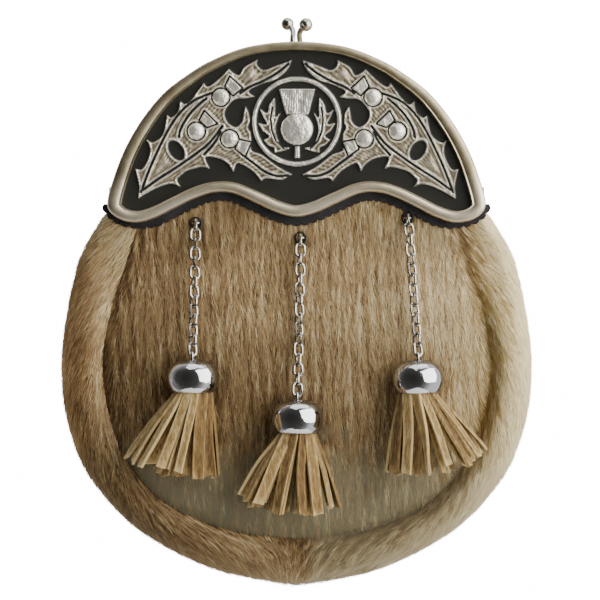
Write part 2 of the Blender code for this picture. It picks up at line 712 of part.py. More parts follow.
def make_link(name, centre, along, flat, pitch, group, surface):
    """One oval link, its round ends parted and its wire sunk a little in the next."""
    length = pitch + WIRE + LINK_SPARE
    rise = (length - LINK_WIDTH) / 2
    side_on = along.cross(flat).normalized()
    face = side_on.cross(along).normalized()
    axes = Matrix((face, side_on, along)).transposed()
    major = (LINK_WIDTH - WIRE) / 2
    rings = []
    for index in range(LINK_SIDES):
        angle = 2 * math.pi * (index + 0.5) / LINK_SIDES
        out = Vector((math.cos(angle), 0.0, math.sin(angle)))
        shift = Vector((0.0, 0.0, rise if out.z > 0 else -rise))
        ring = []
        for turn in range(LINK_WIRE_SIDES):
            bend = 2 * math.pi * turn / LINK_WIRE_SIDES
            local = out * (major + math.cos(bend) * WIRE / 2) + shift
            local += Vector((0.0, math.sin(bend) * WIRE / 2, 0.0))
            ring.append((centre + axes @ local))
        rings.append(ring)
    return loft(name, rings, group, surface, closed_path=True)


def make_chain(side, hole_x, hole_z, cap_x, cap_z, silver):
    """Oval links, turned a quarter each, hanging straight from anchor to cap."""
    reach = GAP + WIRE / 2 - LINK_SPARE / 2
    top = bar_place(hole_x, hole_z) + Vector((0, 0, BAR_RADIUS + reach))
    bottom = eye_centre(cap_centre(cap_x, cap_z)) + Vector((0, 0, EYE_RADIUS - EYE_WIRE - reach))
    run = bottom - top
    count = 2 * round((run.length / LINK_PITCH) / 2)
    pitch = run / count
    along = -pitch.normalized()
    links = []
    for index in range(count):
        centre = top + pitch * (index + 0.5)
        sway = 0.16 if index % 4 in (1, 2) else -0.13
        if index % 2:
            flat = Vector((math.cos(sway), math.sin(sway), 0.0))
        else:
            flat = Vector((-math.sin(sway), math.cos(sway), 0.0))
        name = "link_%s_%d" % (side, index) if index else "chain_" + side
        group, surface = (guides, None) if index else (metalwork, silver)
        links.append(make_link(name, centre, along, flat, pitch.length, group, surface))
    join_all(links[0], links[1:])
    return links[0]


def make_cap(side, centre, chrome):
    """A hollow pressed dome with a wire eye on top."""
    profile = (  # radius, height: outside from the crown down, then the hollow inside
        (1.8, CAP_HALF_HEIGHT), (6.6, 6.2), (9.6, 3.4), (CAP_RADIUS, -0.4), (10.4, -4.2),
        (9.2, -CAP_HALF_HEIGHT), (8.2, -CAP_HALF_HEIGHT), (9.5, -0.8), (5.4, 5.2), (1.0, 6.0))
    bm = bmesh.new()
    rings = []
    for radius, height in profile:
        ring = []
        for index in range(CAP_SIDES):
            angle = 2 * math.pi * index / CAP_SIDES
            out = Vector((radius * math.cos(angle), radius * math.sin(angle), height))
            ring.append(bm.verts.new((centre + out) * MM))
        rings.append(ring)
    for here, there in zip(rings, rings[1:]):
        for index in range(CAP_SIDES):
            after = (index + 1) % CAP_SIDES
            bm.faces.new((here[index], there[index], there[after], here[after]))
    bm.faces.new(rings[0])
    bm.faces.new(rings[-1])
    cap = finish_bmesh(bm, "tassel_cap_" + side, metalwork, chrome)
    ring_centre = eye_centre(centre)
    eye = [ring_centre + Vector((0.0, EYE_RADIUS * math.cos(angle), EYE_RADIUS * math.sin(angle)))
           for angle in (2 * math.pi * (index + 0.5) / EYE_SIDES for index in range(EYE_SIDES))]
    join_all(cap, [tube("eye_" + side, eye, EYE_WIRE, guides, None, cyclic=True, fineness=0)])
    return cap


def thong_section(centre, index, share, length, fan_left, fan_right):
    """Four corners of one thong: outer left, outer right, inner right, inner left."""
    angle = 2 * math.pi * (index + 0.37) / SKIRT_STRIPS
    out_x = math.cos(angle)
    out_y = math.sin(angle)
    lean = (fan_right - fan_left) / 2
    reach = (fan_right + fan_left) / 2 * (0.96 + 0.04 * math.sin(index * 1.7))
    sideways = lean + out_x * (reach - THONG_ROOT)
    drop = math.sqrt((length + 1.5 * math.sin(index * 2.4)) ** 2 - sideways ** 2)
    spread = THONG_ROOT + (reach - THONG_ROOT) * share
    depth = THONG_ROOT + 4.6 * share
    x = centre.x + THONG_ROOT * out_x + sideways * share
    z = centre.z - CAP_HALF_HEIGHT - MOUTH_CLEAR - drop * share
    y = min(centre.y + out_y * depth, panel_face_y(x, z) - 1.5)
    across = Vector((-out_y * spread, out_x * depth, 0.0)).normalized()
    through = Vector((across.y, -across.x, 0.0))
    half = 1.3 + 0.9 * share
    place = Vector((x, y, z))
    return [place + across * u * half + through * v * THONG_WALL / 2
            for u, v in ((-1, 1), (1, 1), (1, -1), (-1, -1))]


def make_skirt(side, centre, thong_length, fan_left, fan_right, suede):
    """Suede thongs drawn out of the flank of a head that sits inside the cap."""
    root_z = centre.z - CAP_HALF_HEIGHT + 2.4
    bm = bmesh.new()
    rings = []
    step = 2 * math.pi / SKIRT_STRIPS
    for radius, z in ((THONG_ROOT - 1.4, centre.z - 1.6), (THONG_ROOT - 0.6, root_z)):
        ring = []
        for index in range(SKIRT_STRIPS):
            for edge in (-0.42, 0.42):
                angle = step * (index + 0.37 + edge)
                place = centre + Vector((radius * math.cos(angle), radius * math.sin(angle), 0.0))
                ring.append(bm.verts.new(Vector((place.x, place.y, z)) * MM))
        rings.append(ring)
    count = len(rings[0])
    roots = []
    for here, there in zip(rings, rings[1:]):
        for index in range(count):
            after = (index + 1) % count
            face = bm.faces.new((here[index], here[after], there[after], there[index]))
            if index % 2 == 0:
                roots.append(face)
    bm.faces.new(list(reversed(rings[0])))
    bm.faces.new(rings[-1])
    for index, face in enumerate(roots):
        for share in (0.0, 1.0):
            corners = thong_section(centre, index, share, thong_length, fan_left, fan_right)
            face = bmesh.ops.extrude_discrete_faces(bm, faces=[face])["faces"][0]
            for vert, corner in zip(face.verts, corners):
                vert.co = corner * MM
    return finish_bmesh(bm, "tassel_skirt_" + side, textiles, suede)


# ------------------------------------------------------------------- assembly
for old in list(bpy.data.objects):
    bpy.data.objects.remove(old)
sporran = collection("sporran_pouch")
guides = collection("guides")
pouch = collection("pouch")
metalwork = collection("metalwork")
textiles = collection("tassel_suede")
for part_group in (pouch, metalwork, textiles):
    bpy.context.scene.collection.children.unlink(part_group)
    sporran.children.link(part_group)

antique_silver = material("antique_silver_casting", (0.42, 0.38, 0.31), 1.0, 0.35)
nickel_wire = material("nickel_wire", (0.62, 0.60, 0.56), 1.0, 0.25)
chrome_plate = material("chrome_plate", (0.75, 0.76, 0.78), 1.0, 0.08)
tan_fur = material("tan_fur_hide", (0.30, 0.21, 0.12), 0.0, 0.85)
black_leather = material("black_leather", (0.02, 0.02, 0.022), 0.0, 0.55)
tan_suede = material("tan_suede", (0.40, 0.28, 0.15), 0.0, 0.9)

make_front_panel(tan_fur)
make_gusset(tan_fur)
make_back_panel(black_leather)
make_cantle_mat(black_leather)
for loop_side, loop_sign in (("left", -1), ("right", 1)):
    make_belt_loop(loop_side, loop_sign * LOOP_X, black_leather)
    make_hinge_rivet(loop_side, loop_sign, nickel_wire)
make_cantle(antique_silver)
make_back_frame(antique_silver)
for clasp_stud in CLASP_STUDS:
    make_clasp_stud(clasp_stud, nickel_wire)
for tassel, top_x, top_z, low_x, low_z, *skirt_size in TASSELS:
    make_anchor(tassel, top_x, top_z, nickel_wire)
    make_chain(tassel, top_x, top_z, low_x, low_z, nickel_wire)
    tassel_centre = cap_centre(low_x, low_z)
    make_cap(tassel, tassel_centre, chrome_plate)
    make_skirt(tassel, tassel_centre, *skirt_size, tan_suede)
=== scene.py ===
"""Looks of a full-dress sporran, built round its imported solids.

Tables and sizes are millimetres and become metres where a mesh is made.  Seen
from the front +X is right, -Y comes towards the viewer and +Z is up.
"""
import math

import bmesh
import bpy
import numpy as np
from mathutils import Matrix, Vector


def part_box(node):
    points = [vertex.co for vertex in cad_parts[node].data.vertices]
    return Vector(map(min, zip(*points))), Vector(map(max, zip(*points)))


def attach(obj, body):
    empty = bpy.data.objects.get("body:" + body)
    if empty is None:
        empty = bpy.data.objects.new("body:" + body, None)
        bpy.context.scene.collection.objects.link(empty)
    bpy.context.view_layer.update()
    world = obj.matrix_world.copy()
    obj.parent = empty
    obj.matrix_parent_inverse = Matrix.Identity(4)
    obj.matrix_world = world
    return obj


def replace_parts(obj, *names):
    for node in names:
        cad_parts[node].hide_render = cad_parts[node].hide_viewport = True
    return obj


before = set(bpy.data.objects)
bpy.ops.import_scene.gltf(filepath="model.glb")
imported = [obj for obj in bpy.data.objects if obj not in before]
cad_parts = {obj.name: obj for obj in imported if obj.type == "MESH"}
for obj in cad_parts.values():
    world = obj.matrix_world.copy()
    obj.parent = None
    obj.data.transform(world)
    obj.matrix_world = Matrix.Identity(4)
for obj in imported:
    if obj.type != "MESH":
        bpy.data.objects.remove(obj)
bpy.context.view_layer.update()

MM = 0.001
WELD = 1e-7                  # metres between points that are one
GAP = 0.3                    # clearance between pieces that touch
CHAMFER = 0.3                # on cut leather and on the hinge ears
DICE = np.random.default_rng(7)

# ---- sizes shared with the solids
LEATHER_WALL = 2.0
HIDE_WALL = 2.5
FRAME_SPLIT_Y = -16.0
PANEL_TOP_Y = -30.4
SEAM_Y = -36.5
PANEL_CROWN = 7.0
SWELL_TOP_Z = -39.0
SWELL_FULL_Z = -81.0
CROWN_LOW_Z = -95.0
MAT_WALL = 1.2
MAT_BACK_Y = PANEL_TOP_Y - GAP
PLATE_BACK_Y = MAT_BACK_Y - MAT_WALL - GAP
PLATE_FRONT_Y = PLATE_BACK_Y - 1.8
RIM_HEIGHT = 3.0
FLANGE_INSET = 1.2
FLANGE_WALL = 1.5
RELIEF_TUCK = 1.2            # the relief plate reaches under the rim

CANTLE_ARCH = (  # x, z, rim width; right half, from the top centre down
    (0.0, 45.8, 3.7), (20.2, 43.7, 3.8), (35.9, 37.8, 4.2), (46.4, 31.5, 4.6),
    (56.2, 23.8, 5.0), (65.3, 12.6, 5.4), (72.5, 0.0, 5.7), (77.3, -12.6, 6.0),
    (79.6, -21.5, 6.1))
CANTLE_HEM = (   # x, z, rim width; on from there to the low centre
    (78.4, -26.0, 5.8), (73.5, -29.4, 5.2), (66.4, -30.4, 4.9), (58.8, -28.2, 4.8),
    (50.4, -24.0, 4.7), (42.0, -20.0, 4.7), (34.5, -17.8, 4.6), (26.6, -18.2, 4.7),
    (16.8, -22.4, 4.9), (8.4, -26.2, 5.0), (0.0, -28.1, 5.0))
POUCH = (  # seam_x, seam_z, outer_x, outer_z; right half, from the top down
    (66.0, -29.6, 79.3, -24.2), (71.0, -46.5, 90.4, -43.8), (77.0, -65.2, 95.8, -65.0),
    (80.8, -87.5, 98.7, -89.5), (79.2, -107.0, 96.4, -113.5), (71.8, -128.2, 87.2, -136.9),
    (56.5, -146.6, 66.5, -159.6), (31.0, -158.4, 34.6, -176.3), (0.0, -162.3, 0.0, -183.0))
GUSSET_SECTION = (  # share of the way out from the seam, share of the depth
    (0.0, 1.0), (0.30, 1.11), (0.70, 1.02), (0.98, 0.67), (0.98, 0.26), (0.80, 0.0),
    (0.60, 0.0))
GUSSET_BACK_Y = -0.2
BACK_SEAM_SHARE = 0.60

HINGE_Z = -17.5
EAR_RADIUS = 4.2
POUCH_MIDDLE = (0.0, -20.0, -90.0)
CLASP_STUDS = (  # side, base_x, base_y, ball_x, ball_y, ball_radius
    ("front", -1.6, -24.0, -3.8, -18.6, 2.7),
    ("back", 1.4, -8.0, 4.0, -13.6, 2.9))
BALL_HEIGHT_Z = 54.2
STUD_FOOT = 3.2              # the collar's seat over the solid's lowest point
STUD_RADIUS = 1.25
TASSELS = (  # side, hole_x, hole_z, cap_x, cap_z, thong_length, fan_left, fan_right
    ("left", -42.4, -30.6, -43.2, -94.6, 36.0, 26.5, 9.5),
    ("middle", 1.7, -36.8, 0.4, -111.4, 34.2, 24.0, 15.8),
    ("right", 46.8, -28.4, 50.6, -94.8, 35.0, 13.0, 27.8))
CHAIN_TWISTS = {  # radians at the staple, at two places below it and at the cap
    "left": (0.05, 0.15, 0.7, 0.75), "middle": (0.0, 0.4, 0.7, 0.05),
    "right": (0.1, 0.65, 0.75, 0.6)}
TWIST_PLACES = (0.0, 0.35, 0.6, 1.0)
WIRE = 1.2
LINK_WIDTH = 4.8
LINK_PITCH = 4.2
LINK_REACH = 0.49            # from the staple and the eye to the chain's ends
BAR_OUT = 3.2
BAR_RADIUS = 0.5
STAPLE_HALF_WIDTH = 1.35
STAPLE_BEND = 0.9
STAPLE_TAIL = 1.5            # how far the legs reach past the hide
CAP_RADIUS = 10.8
CAP_HALF_HEIGHT = 7.2
CAP_STANDS_OFF = 0.7         # from the panel
EYE_RADIUS = 1.9
EYE_WIRE = 0.5
EYE_SUNK = 0.9
THONG_ROOT = 7.0

# ---- ornament on the cantle
# Outlines are the right half's.  A leaf is a list of lobes that each start at a
# sharp tip.
RELIEF_CELL = 0.30           # grid that carries the cast relief
RELIEF_TOP = 1.6
SPRAY = (
    ((66.8, -20.4), (66.4, -15.2)),
    ((68.1, -7.8), (65.1, -7.9), (62.5, -3.4), (61.9, 0.9)),
    ((63.5, 4.7), (60.8, 3.3), (57.0, 5.8), (55.5, 10.1)),
    ((54.8, 14.9), (52.9, 13.8), (50.5, 15.7), (49.6, 18.1)),
    ((49.3, 20.7), (47.1, 19.4), (44.3, 21.5), (41.9, 24.9)),
    ((39.3, 28.4), (37.5, 26.8), (33.2, 29.8)),
    ((28.8, 34.3), (26.8, 32.6), (24.3, 31.7), (22.1, 35.1)),
    ((16.6, 38.2), (16.9, 36.0), (14.1, 33.8), (8.6, 35.7)),
    ((2.1, 38.0), (4.3, 33.5), (9.2, 29.5), (14.1, 28.0), (20.3, 24.9)),
    ((17.5, 22.3), (21.8, 21.8), (25.5, 21.5), (28.3, 19.4), (30.5, 15.7), (29.2, 11.7),
     (25.8, 9.8), (23.1, 12.0), (22.4, 15.7)),
    ((21.8, 18.6), (20.3, 15.7), (19.8, 12.0), (20.6, 9.5), (19.4, 7.0), (19.2, 4.0),
     (19.1, -0.1), (14.7, -1.9), (8.6, -6.5)),
    ((2.1, -10.2), (6.7, -12.4), (12.9, -11.8)),
    ((15.0, -13.1), (18.4, -9.0), (23.4, -5.9), (25.5, -5.9)),
    ((26.8, -9.3), (28.9, -5.9), (33.2, -3.4), (38.5, -3.1)),
    ((36.6, -7.9), (40.0, -7.1), (46.2, -8.7)),
    ((49.3, -11.1), (50.5, -12.7)),
    ((48.8, -15.6), (52.9, -14.2), (59.1, -16.1)))
SPRAY_VEINS = (
    ((65.6, -17.6), (62.2, -8.4), (57.9, 1.2), (53.6, 9.5), (49.3, 15.7), (44.3, 20.3),
     (39.4, 22.7), (35.7, 24.0)),
    ((64.7, -16.7), (57.9, -11.8), (50.5, -7.1), (43.1, -1.9), (36.9, 3.0), (31.4, 10.1)),
    ((49.6, 5.5), (48.9, 8.9), (46.2, 13.8), (42.5, 18.1), (38.2, 21.8)),
    ((24.0, 24.0), (19.7, 26.8), (14.7, 28.9), (8.6, 32.3), (3.6, 36.3)),
    ((23.1, -1.9), (18.4, -5.3), (13.5, -9.0), (8.6, -10.8), (3.6, -10.7)),
    ((32.3, 7.6), (34.5, 3.3), (39.1, -1.9)))
SPRAY_GAP = (50.8, -0.1, 2.9, 4.5, -0.6)  # x, z, half width, half height, turn
BUD_RADIUS = 3.5
BUDS = ((32.0, 22.3), (42.3, 8.0), (28.3, 4.8))
BUD_TUFTS = (
    ((30.1, 26.8), (28.2, 30.8), (23.1, 26.1), (26.9, 23.2)),
    ((40.9, 12.6), (38.9, 16.3), (33.8, 11.2), (37.7, 9.8)),
    ((24.3, 4.3), (19.4, 3.3), (21.8, -2.3), (25.8, 0.6)))
SPRAY_POINT = (67.0, -20.5)  # the fine ribs of the leaves fan out from here
RIBS = 110                   # in a full turn, and twice that past these reaches
RIBS_DOUBLE = (26.0, 40.0)
RIB_HEIGHT = 0.08
VEIN_HALF_WIDTH = 0.42
FINE_VEIN_HALF_WIDTH = 0.22
BUD_MOAT = 0.55              # enamel left round the buds and their tufts
TUFT_MOAT = 0.50
EMBLEM = (0.2, 12.1)
EMBLEM_RING = 17.9
RING_HALF_WIDTH = 0.95
HEAD = (0.2, 8.9, 6.7)       # x, z, radius
TUFT = ((-7.7, 25.9), (7.7, 25.9), (4.9, 15.0), (-4.5, 15.0))
STEM = ((-0.9, 1.7), (1.1, 1.7), (1.2, -3.3), (-1.0, -3.3))
EMBLEM_LEAF = (
    ((9.4, 22.3), (11.5, 19.4), (12.6, 15.7)),
    ((15.7, 17.5), (14.2, 13.8), (12.8, 11.0)),
    ((16.4, 11.5), (14.4, 8.3), (11.8, 5.9)),
    ((14.1, 4.3), (12.0, 2.1), (9.7, 1.0)),
    ((9.5, -1.1), (6.4, -0.5), (3.0, 0.9), (6.6, 1.8), (8.4, 5.8), (8.9, 10.1)),
    ((6.8, 16.3), (9.1, 13.9), (9.1, 18.1)))
EMBLEM_VEIN = ((10.3, 18.1), (11.0, 13.2), (10.5, 8.3), (8.9, 4.0), (5.5, 0.6))

LOOP_X = 30.0                # belt loops on the back, and the rows that sew them on
LOOP_STITCH_ZS = (-25.0, -20.5, 20.5, 25.0)
PINK_PITCH = 3.3             # scallops of the pinked leather
PINK_DEPTH = 1.0
PINK_STEPS = 8
MAT_SHOWS = 3.8              # and MAT_TAPER less past the second of MAT_TAPER_XS
MAT_TAPER = 1.4
MAT_TAPER_XS = (58.0, 70.0)
MAT_TUCK = 3.0

# ---- hair on the hide
HAIR_PIECES = (  # name, surface, roots, length, lift, width
    ("panel_hair_short", "panel", 46000, 4.4, 0.45, 0.42),
    ("panel_hair_long", "panel", 34000, 6.6, 0.75, 0.34),
    ("gusset_hair_short", "gusset", 44000, 4.6, 0.60, 0.44),
    ("gusset_hair_long", "gusset", 36000, 7.4, 1.05, 0.36))
LENGTH_SPREAD = (0.65, 1.25)
LIFT_SPREAD = (0.35, 1.35)
WIDTH_SPREAD = (0.7, 1.3)
HAIR_TOP_Z = -14.0           # above this the cantle covers the panel
PANEL_LIE = (0.11, 0.0, -1.0)    # the way the front's hair points
EYELET_CLEAR = 2.9           # no hair roots this near to an eyelet
OVERHANG_CLEAR = 2.2         # nor this far aside of it where it would hang over it
ROOT_DEPTH = 0.15
BLADE_SIDES = ((0, 2, 1), (0, 1, 3), (1, 2, 3), (2, 0, 3))
BLADE_TONES = (-0.20, -0.20, -0.10, 0.16)    # two feet, ridge and tip
CAP_PAINTED_SHADE = 0.26             # painted shade on the coat round a cap
CAP_PAINTED_SHADE_REACH = (9.5, 17.5)
CAP_FLATTENS = (7.0, 12.0)   # from a cap's middle: hair lies flat, and is upright again


# ---- curves and places
def smooth_rows(rows, steps):
    """A table's rows joined by a smooth curve, with steps points to each span."""
    rows = [Vector(row) for row in rows]
    padded = [rows[0] * 2 - rows[1]] + rows + [rows[-1] * 2 - rows[-2]]
    if rows[0][0] == 0.0:
        padded[0] = Vector((-rows[1][0], *rows[1][1:]))
    if rows[-1][0] == 0.0:
        padded[-1] = Vector((-rows[-2][0], *rows[-2][1:]))
    made = []
    for index in range(len(rows) - 1):
        a, b, c, d = padded[index:index + 4]
        for step in range(steps):
            t = step / steps
            made.append(0.5 * (2 * b + (c - a) * t + (2 * a - 5 * b + 4 * c - d) * t ** 2
                               + (3 * b - a - 3 * c + d) * t ** 3))
    made.append(rows[-1])
    return made


def mirrored(points):
    """A right half, listed from the centre line to the centre line, made whole."""
    return list(points) + [Vector((-point[0], *point[1:])) for point in reversed(points[1:-1])]


def outward(points):
    """Unit normals, in the front view, of a closed outline listed clockwise."""
    made = []
    for index in range(len(points)):
        along = points[(index + 1) % len(points)] - points[index - 1]
        made.append(Vector((-along[1], along[0])).normalized())
    return made


def distance_along(points, axis=0):
    """Distance in mm from the first point of a line, or of each line of a lattice."""
    steps = np.linalg.norm(np.diff(points, axis=axis), axis=-1)
    start = np.zeros_like(steps.take([0], axis))
    return np.concatenate([start, np.cumsum(steps, axis=axis)], axis=axis)


def fade(value, start, full):
    """0 up to start, then smoothly up to 1 at full."""
    share = np.clip((value - start) / (full - start), 0.0, 1.0)
    return share * share * (3 - 2 * share)


OUTLINE_STEPS = 6
CANTLE_EDGE = mirrored(smooth_rows(CANTLE_ARCH + CANTLE_HEM, OUTLINE_STEPS))
CANTLE_WAYS = outward(CANTLE_EDGE)
ARCH_POINTS = (len(CANTLE_ARCH) - 1) * OUTLINE_STEPS + 1


def pouch_spokes(steps):
    """Seam and outer point of every spoke: right top, round the bottom, left top."""
    rows = smooth_rows(POUCH, steps)
    rows[-1] = Vector(POUCH[-1])
    half = [(Vector((row[0], row[1])), Vector((row[2], row[3]))) for row in rows]
    return half + [tuple(Vector((-point.x, point.y)) for point in spoke)
                   for spoke in reversed(half[:-1])]


SEAM_HEIGHTS = [row[1] for row in reversed(POUCH)]
SEAM_WIDTHS = [row[0] for row in reversed(POUCH)]


def panel_face_y(x, z):
    """Depth of the front panel's face: flat under the cantle, crowned below it."""
    swell = fade(z, SWELL_TOP_Z, SWELL_FULL_Z)
    width = np.maximum(1.0, np.interp(z, SEAM_HEIGHTS, SEAM_WIDTHS))
    across = 1.0 - np.minimum(1.0, np.abs(x) / width) ** 4
    down = 1.0 - np.clip((CROWN_LOW_Z - z) / (CROWN_LOW_Z - SEAM_HEIGHTS[0]), 0.0, 1.0) ** 4
    return PANEL_TOP_Y + (SEAM_Y - PANEL_TOP_Y) * swell - PANEL_CROWN * swell * across * down


def at_depth(point, y):
    """A point of the front view, put at a depth."""
    return Vector((point[0], y, point[1]))


def bar_place(hole_x, hole_z):
    return Vector((hole_x, float(panel_face_y(hole_x, hole_z)) - BAR_OUT, hole_z))


def cap_centre(cap_x, cap_z):
    return Vector((cap_x, float(panel_face_y(cap_x, cap_z)) - CAP_STANDS_OFF - CAP_RADIUS, cap_z))


def eye_centre(centre):
    return centre + Vector((0.0, 0.0, CAP_HALF_HEIGHT + EYE_RADIUS - EYE_SUNK))


# ---- materials
def hex_colour(code):
    """sRGB hex to the linear colour that shaders take."""
    parts = [int(code[index:index + 2], 16) / 255 for index in (1, 3, 5)]
    return tuple(part / 12.92 if part <= 0.04045 else ((part + 0.055) / 1.055) ** 2.4
                 for part in parts) + (1.0,)


def set_sockets(node, **sockets):
    """Fill or link a node's inputs, called by name or as in0, in1 and so on."""
    for key, value in sockets.items():
        number = key[2:] if key.startswith("in") else ""
        socket = node.inputs[int(number) if number.isdigit() else key.replace("_", " ")]
        if isinstance(value, bpy.types.NodeSocket):
            node.id_data.links.new(value, socket)
        else:
            socket.default_value = value


def add_node(tree, kind, output, settings=None, stops=(), **sockets):
    """Add a shader node, its properties, colour stops and sockets; return an output."""
    made = tree.nodes.new("ShaderNode" + kind)
    for key, value in (settings or {}).items():
        setattr(made, key, value)
    for _ in stops[2:]:
        made.color_ramp.elements.new(0.5)
    for number, (place, code) in enumerate(stops):
        made.color_ramp.elements[number].position = place
        made.color_ramp.elements[number].color = hex_colour(code)
    set_sockets(made, **sockets)
    return made.outputs[output]


def new_material(name):
    made = bpy.data.materials.new(name)
    made.use_nodes = True
    return made, made.node_tree, made.node_tree.nodes["Principled BSDF"]


def object_noise(tree, grain_mm, detail=3.0, stretch=(1.0, 1.0, 1.0), roughness=0.5):
    """Noise on Object coordinates whose blobs are grain_mm across."""
    place = add_node(tree, "TexCoord", "Object")
    mapped = add_node(tree, "Mapping", "Vector", Vector=place, Scale=stretch)
    return add_node(tree, "TexNoise", "Fac", Vector=mapped, Scale=1000.0 / grain_mm,
                    Detail=detail, Roughness=roughness)


def mottled(tree, grain_mm, *stops):
    """A colour that wanders between stops in blotches of grain_mm."""
    return add_node(tree, "ValToRGB", "Color", in0=object_noise(tree, grain_mm), stops=stops)


def antique_silver():
    # Silver plate on a zinc casting, toned brown; a painted highlight makes the lower border paler
    made, tree, shader = new_material("antique_silver")
    place = add_node(tree, "TexCoord", "Object")
    height = add_node(tree, "SeparateXYZ", "Z", Vector=place)
    # painted highlight: fades in below z = -10 mm and is full from -20 mm down
    painted_low_highlight = add_node(tree, "MapRange", "Result", Value=height, From_Min=-0.010,
                      From_Max=-0.020, To_Max=0.70)
    plate = add_node(tree, "ValToRGB", "Color",
                     stops=((0.30, "#a79c7f"), (0.52, "#c0b596"), (0.74, "#d6cdb4")),
                     in0=object_noise(tree, 7.0, 5.0, roughness=0.6))
    colour = add_node(tree, "Mix", 2, {"data_type": "RGBA"}, Factor=painted_low_highlight,
                      in6=plate, in7=hex_colour("#fff4de"))
    rough = add_node(tree, "MapRange", "Result", Value=object_noise(tree, 2.5),
                     To_Min=0.38, To_Max=0.50)
    grain = add_node(tree, "Bump", "Normal", Height=object_noise(tree, 1.2),
                     Distance=0.02 * MM)
    set_sockets(shader, Metallic=1.0, Base_Color=colour, Roughness=rough, Normal=grain)
    return made


def cast_relief():
    # The same silver with black enamel flooded round the leaves, and tone left
    # in the hollows; "height" is the share of the relief's full height
    made, tree, shader = new_material("silver_relief_on_black_enamel")
    height = add_node(tree, "Attribute", "Fac", {"attribute_name": "height"})
    hollow = add_node(tree, "Attribute", "Fac", {"attribute_name": "hollow"})
    metal = add_node(tree, "MapRange", "Result", Value=height, From_Min=0.16,
                     From_Max=0.24)
    smudge = add_node(tree, "MapRange", "Result", Value=object_noise(tree, 1.4),
                      To_Min=-0.26, To_Max=0.26)
    toned = add_node(tree, "Math", "Value", {"operation": "ADD"}, in0=hollow,
                     in1=smudge)
    silver = add_node(tree, "ValToRGB", "Color", in0=toned,
                      stops=((0.14, "#fbf8ee"), (0.45, "#cfc6af"), (0.78, "#9b917a"),
                             (1.0, "#6f6856")))
    colour = add_node(tree, "Mix", 2, {"data_type": "RGBA"}, Factor=metal,
                      in6=hex_colour("#272825"), in7=silver)
    shine = add_node(tree, "MapRange", "Result", Value=toned, From_Min=0.3,
                     From_Max=0.9, To_Min=0.75, To_Max=0.45)
    polish = add_node(tree, "Math", "Value", {"operation": "MULTIPLY"}, in0=shine,
                      in1=metal)
    rough = add_node(tree, "MapRange", "Result", Value=toned, To_Min=0.34,
                     To_Max=0.5)
    uneven = add_node(tree, "Math", "Value", {"operation": "MULTIPLY"},
                      in0=object_noise(tree, 4.5), in1=metal)
    grain = add_node(tree, "Bump", "Normal", Height=uneven, Distance=1.3 * MM)
    set_sockets(shader, Base_Color=colour, Metallic=polish, Roughness=rough, Normal=grain)
    return made


def nickel_plate():
    # Bright nickel on wire and small castings, a little grey in its reflections
    made, tree, shader = new_material("nickel_plate")
    colour = mottled(tree, 3.0, (0.3, "#a9a69e"), (0.7, "#d6d3ca"))
    set_sockets(shader, Metallic=1.0, Base_Color=colour, Roughness=0.2)
    return made


def chrome_plate():
    # Mirror chrome over polished brass, greyer and a little rougher where the dome turns away from
    # the front: a painted shade at its edges
    made, tree, shader = new_material("chrome_plate")
    tarnish = add_node(tree, "Attribute", "Fac", {"attribute_name": "tarnish"})
    colour = add_node(tree, "ValToRGB", "Color", in0=tarnish,
                      stops=((0.0, "#d8dae0"), (0.5, "#a6aab4"), (1.0, "#8b8f99")))
    smear = add_node(tree, "MapRange", "Result", Value=object_noise(tree, 3.0),
                     To_Min=0.03, To_Max=0.13)
    rough = add_node(tree, "Math", "Value", {"operation": "MULTIPLY_ADD"},
                     in0=tarnish, in1=0.12, in2=smear)
    dents = add_node(tree, "Bump", "Normal", Height=object_noise(tree, 7.0, 2.0),
                     Distance=0.5 * MM)
    set_sockets(shader, Metallic=1.0, Base_Color=colour, Roughness=rough, Normal=dents)
    return made


def black_leather():
    # Drum-dyed calf: satin, with fine pebbled grain
    made, tree, shader = new_material("black_calf_leather")
    place = add_node(tree, "TexCoord", "Object")
    colour = mottled(tree, 6.0, (0.3, "#121316"), (0.7, "#26272b"))
    pebble = add_node(tree, "TexVoronoi", "Distance", {"feature": "SMOOTH_F1"},
                      Vector=place, Scale=1000.0 / 1.1, Smoothness=0.6)
    grain = add_node(tree, "Bump", "Normal", Height=pebble, Distance=0.12 * MM,
                     Strength=0.6)
    set_sockets(shader, Base_Color=colour, Roughness=0.48, Normal=grain)
    return made


def waxed_thread():
    # Tan linen thread, waxed
    made, tree, shader = new_material("waxed_thread")
    colour = mottled(tree, 1.0, (0.3, "#6f5536"), (0.7, "#a3855c"))
    set_sockets(shader, Base_Color=colour, Roughness=0.6)
    return made


def hair_coat(name, dark, mid, pale, tip):
    # Short glossy hair, each lock its own shade: "tone" runs from dark to pale and carries painted
    # shade and light; creamier far right, partly its colour and partly painted light; golden brown
    # far left, olive grey on the low front
    made, tree, shader = new_material(name)
    tone = add_node(tree, "Attribute", "Fac", {"attribute_name": "tone"})
    olive = add_node(tree, "Attribute", "Fac", {"attribute_name": "olive"})
    place = add_node(tree, "TexCoord", "Object")
    across = add_node(tree, "SeparateXYZ", "X", Vector=place)
    right, left = (
        add_node(tree, "MapRange", "Result", {"interpolation_type": "SMOOTHSTEP"},
                 Value=across, From_Min=start, From_Max=full, To_Max=most)
        for start, full, most in ((0.062, 0.098, 0.62), (-0.078, -0.098, 0.45)))
    coat = add_node(tree, "ValToRGB", "Color", in0=tone,
                    stops=((0.05, dark), (0.38, mid), (0.68, pale), (0.95, tip)))
    # the screen on the right is partly the coat's cream and partly painted light
    for share, blend, code in ((right, "SCREEN", "#b09240"), (left, "MULTIPLY", "#e2b06a"),
                               (olive, "MIX", "#918f76")):
        coat = add_node(tree, "Mix", 2, {"data_type": "RGBA", "blend_type": blend},
                        Factor=share, in6=coat, in7=hex_colour(code))
    set_sockets(shader, Base_Color=coat, Roughness=0.62, Specular_IOR_Level=0.25,
                Sheen_Weight=0.10, Sheen_Roughness=0.4)
    return made


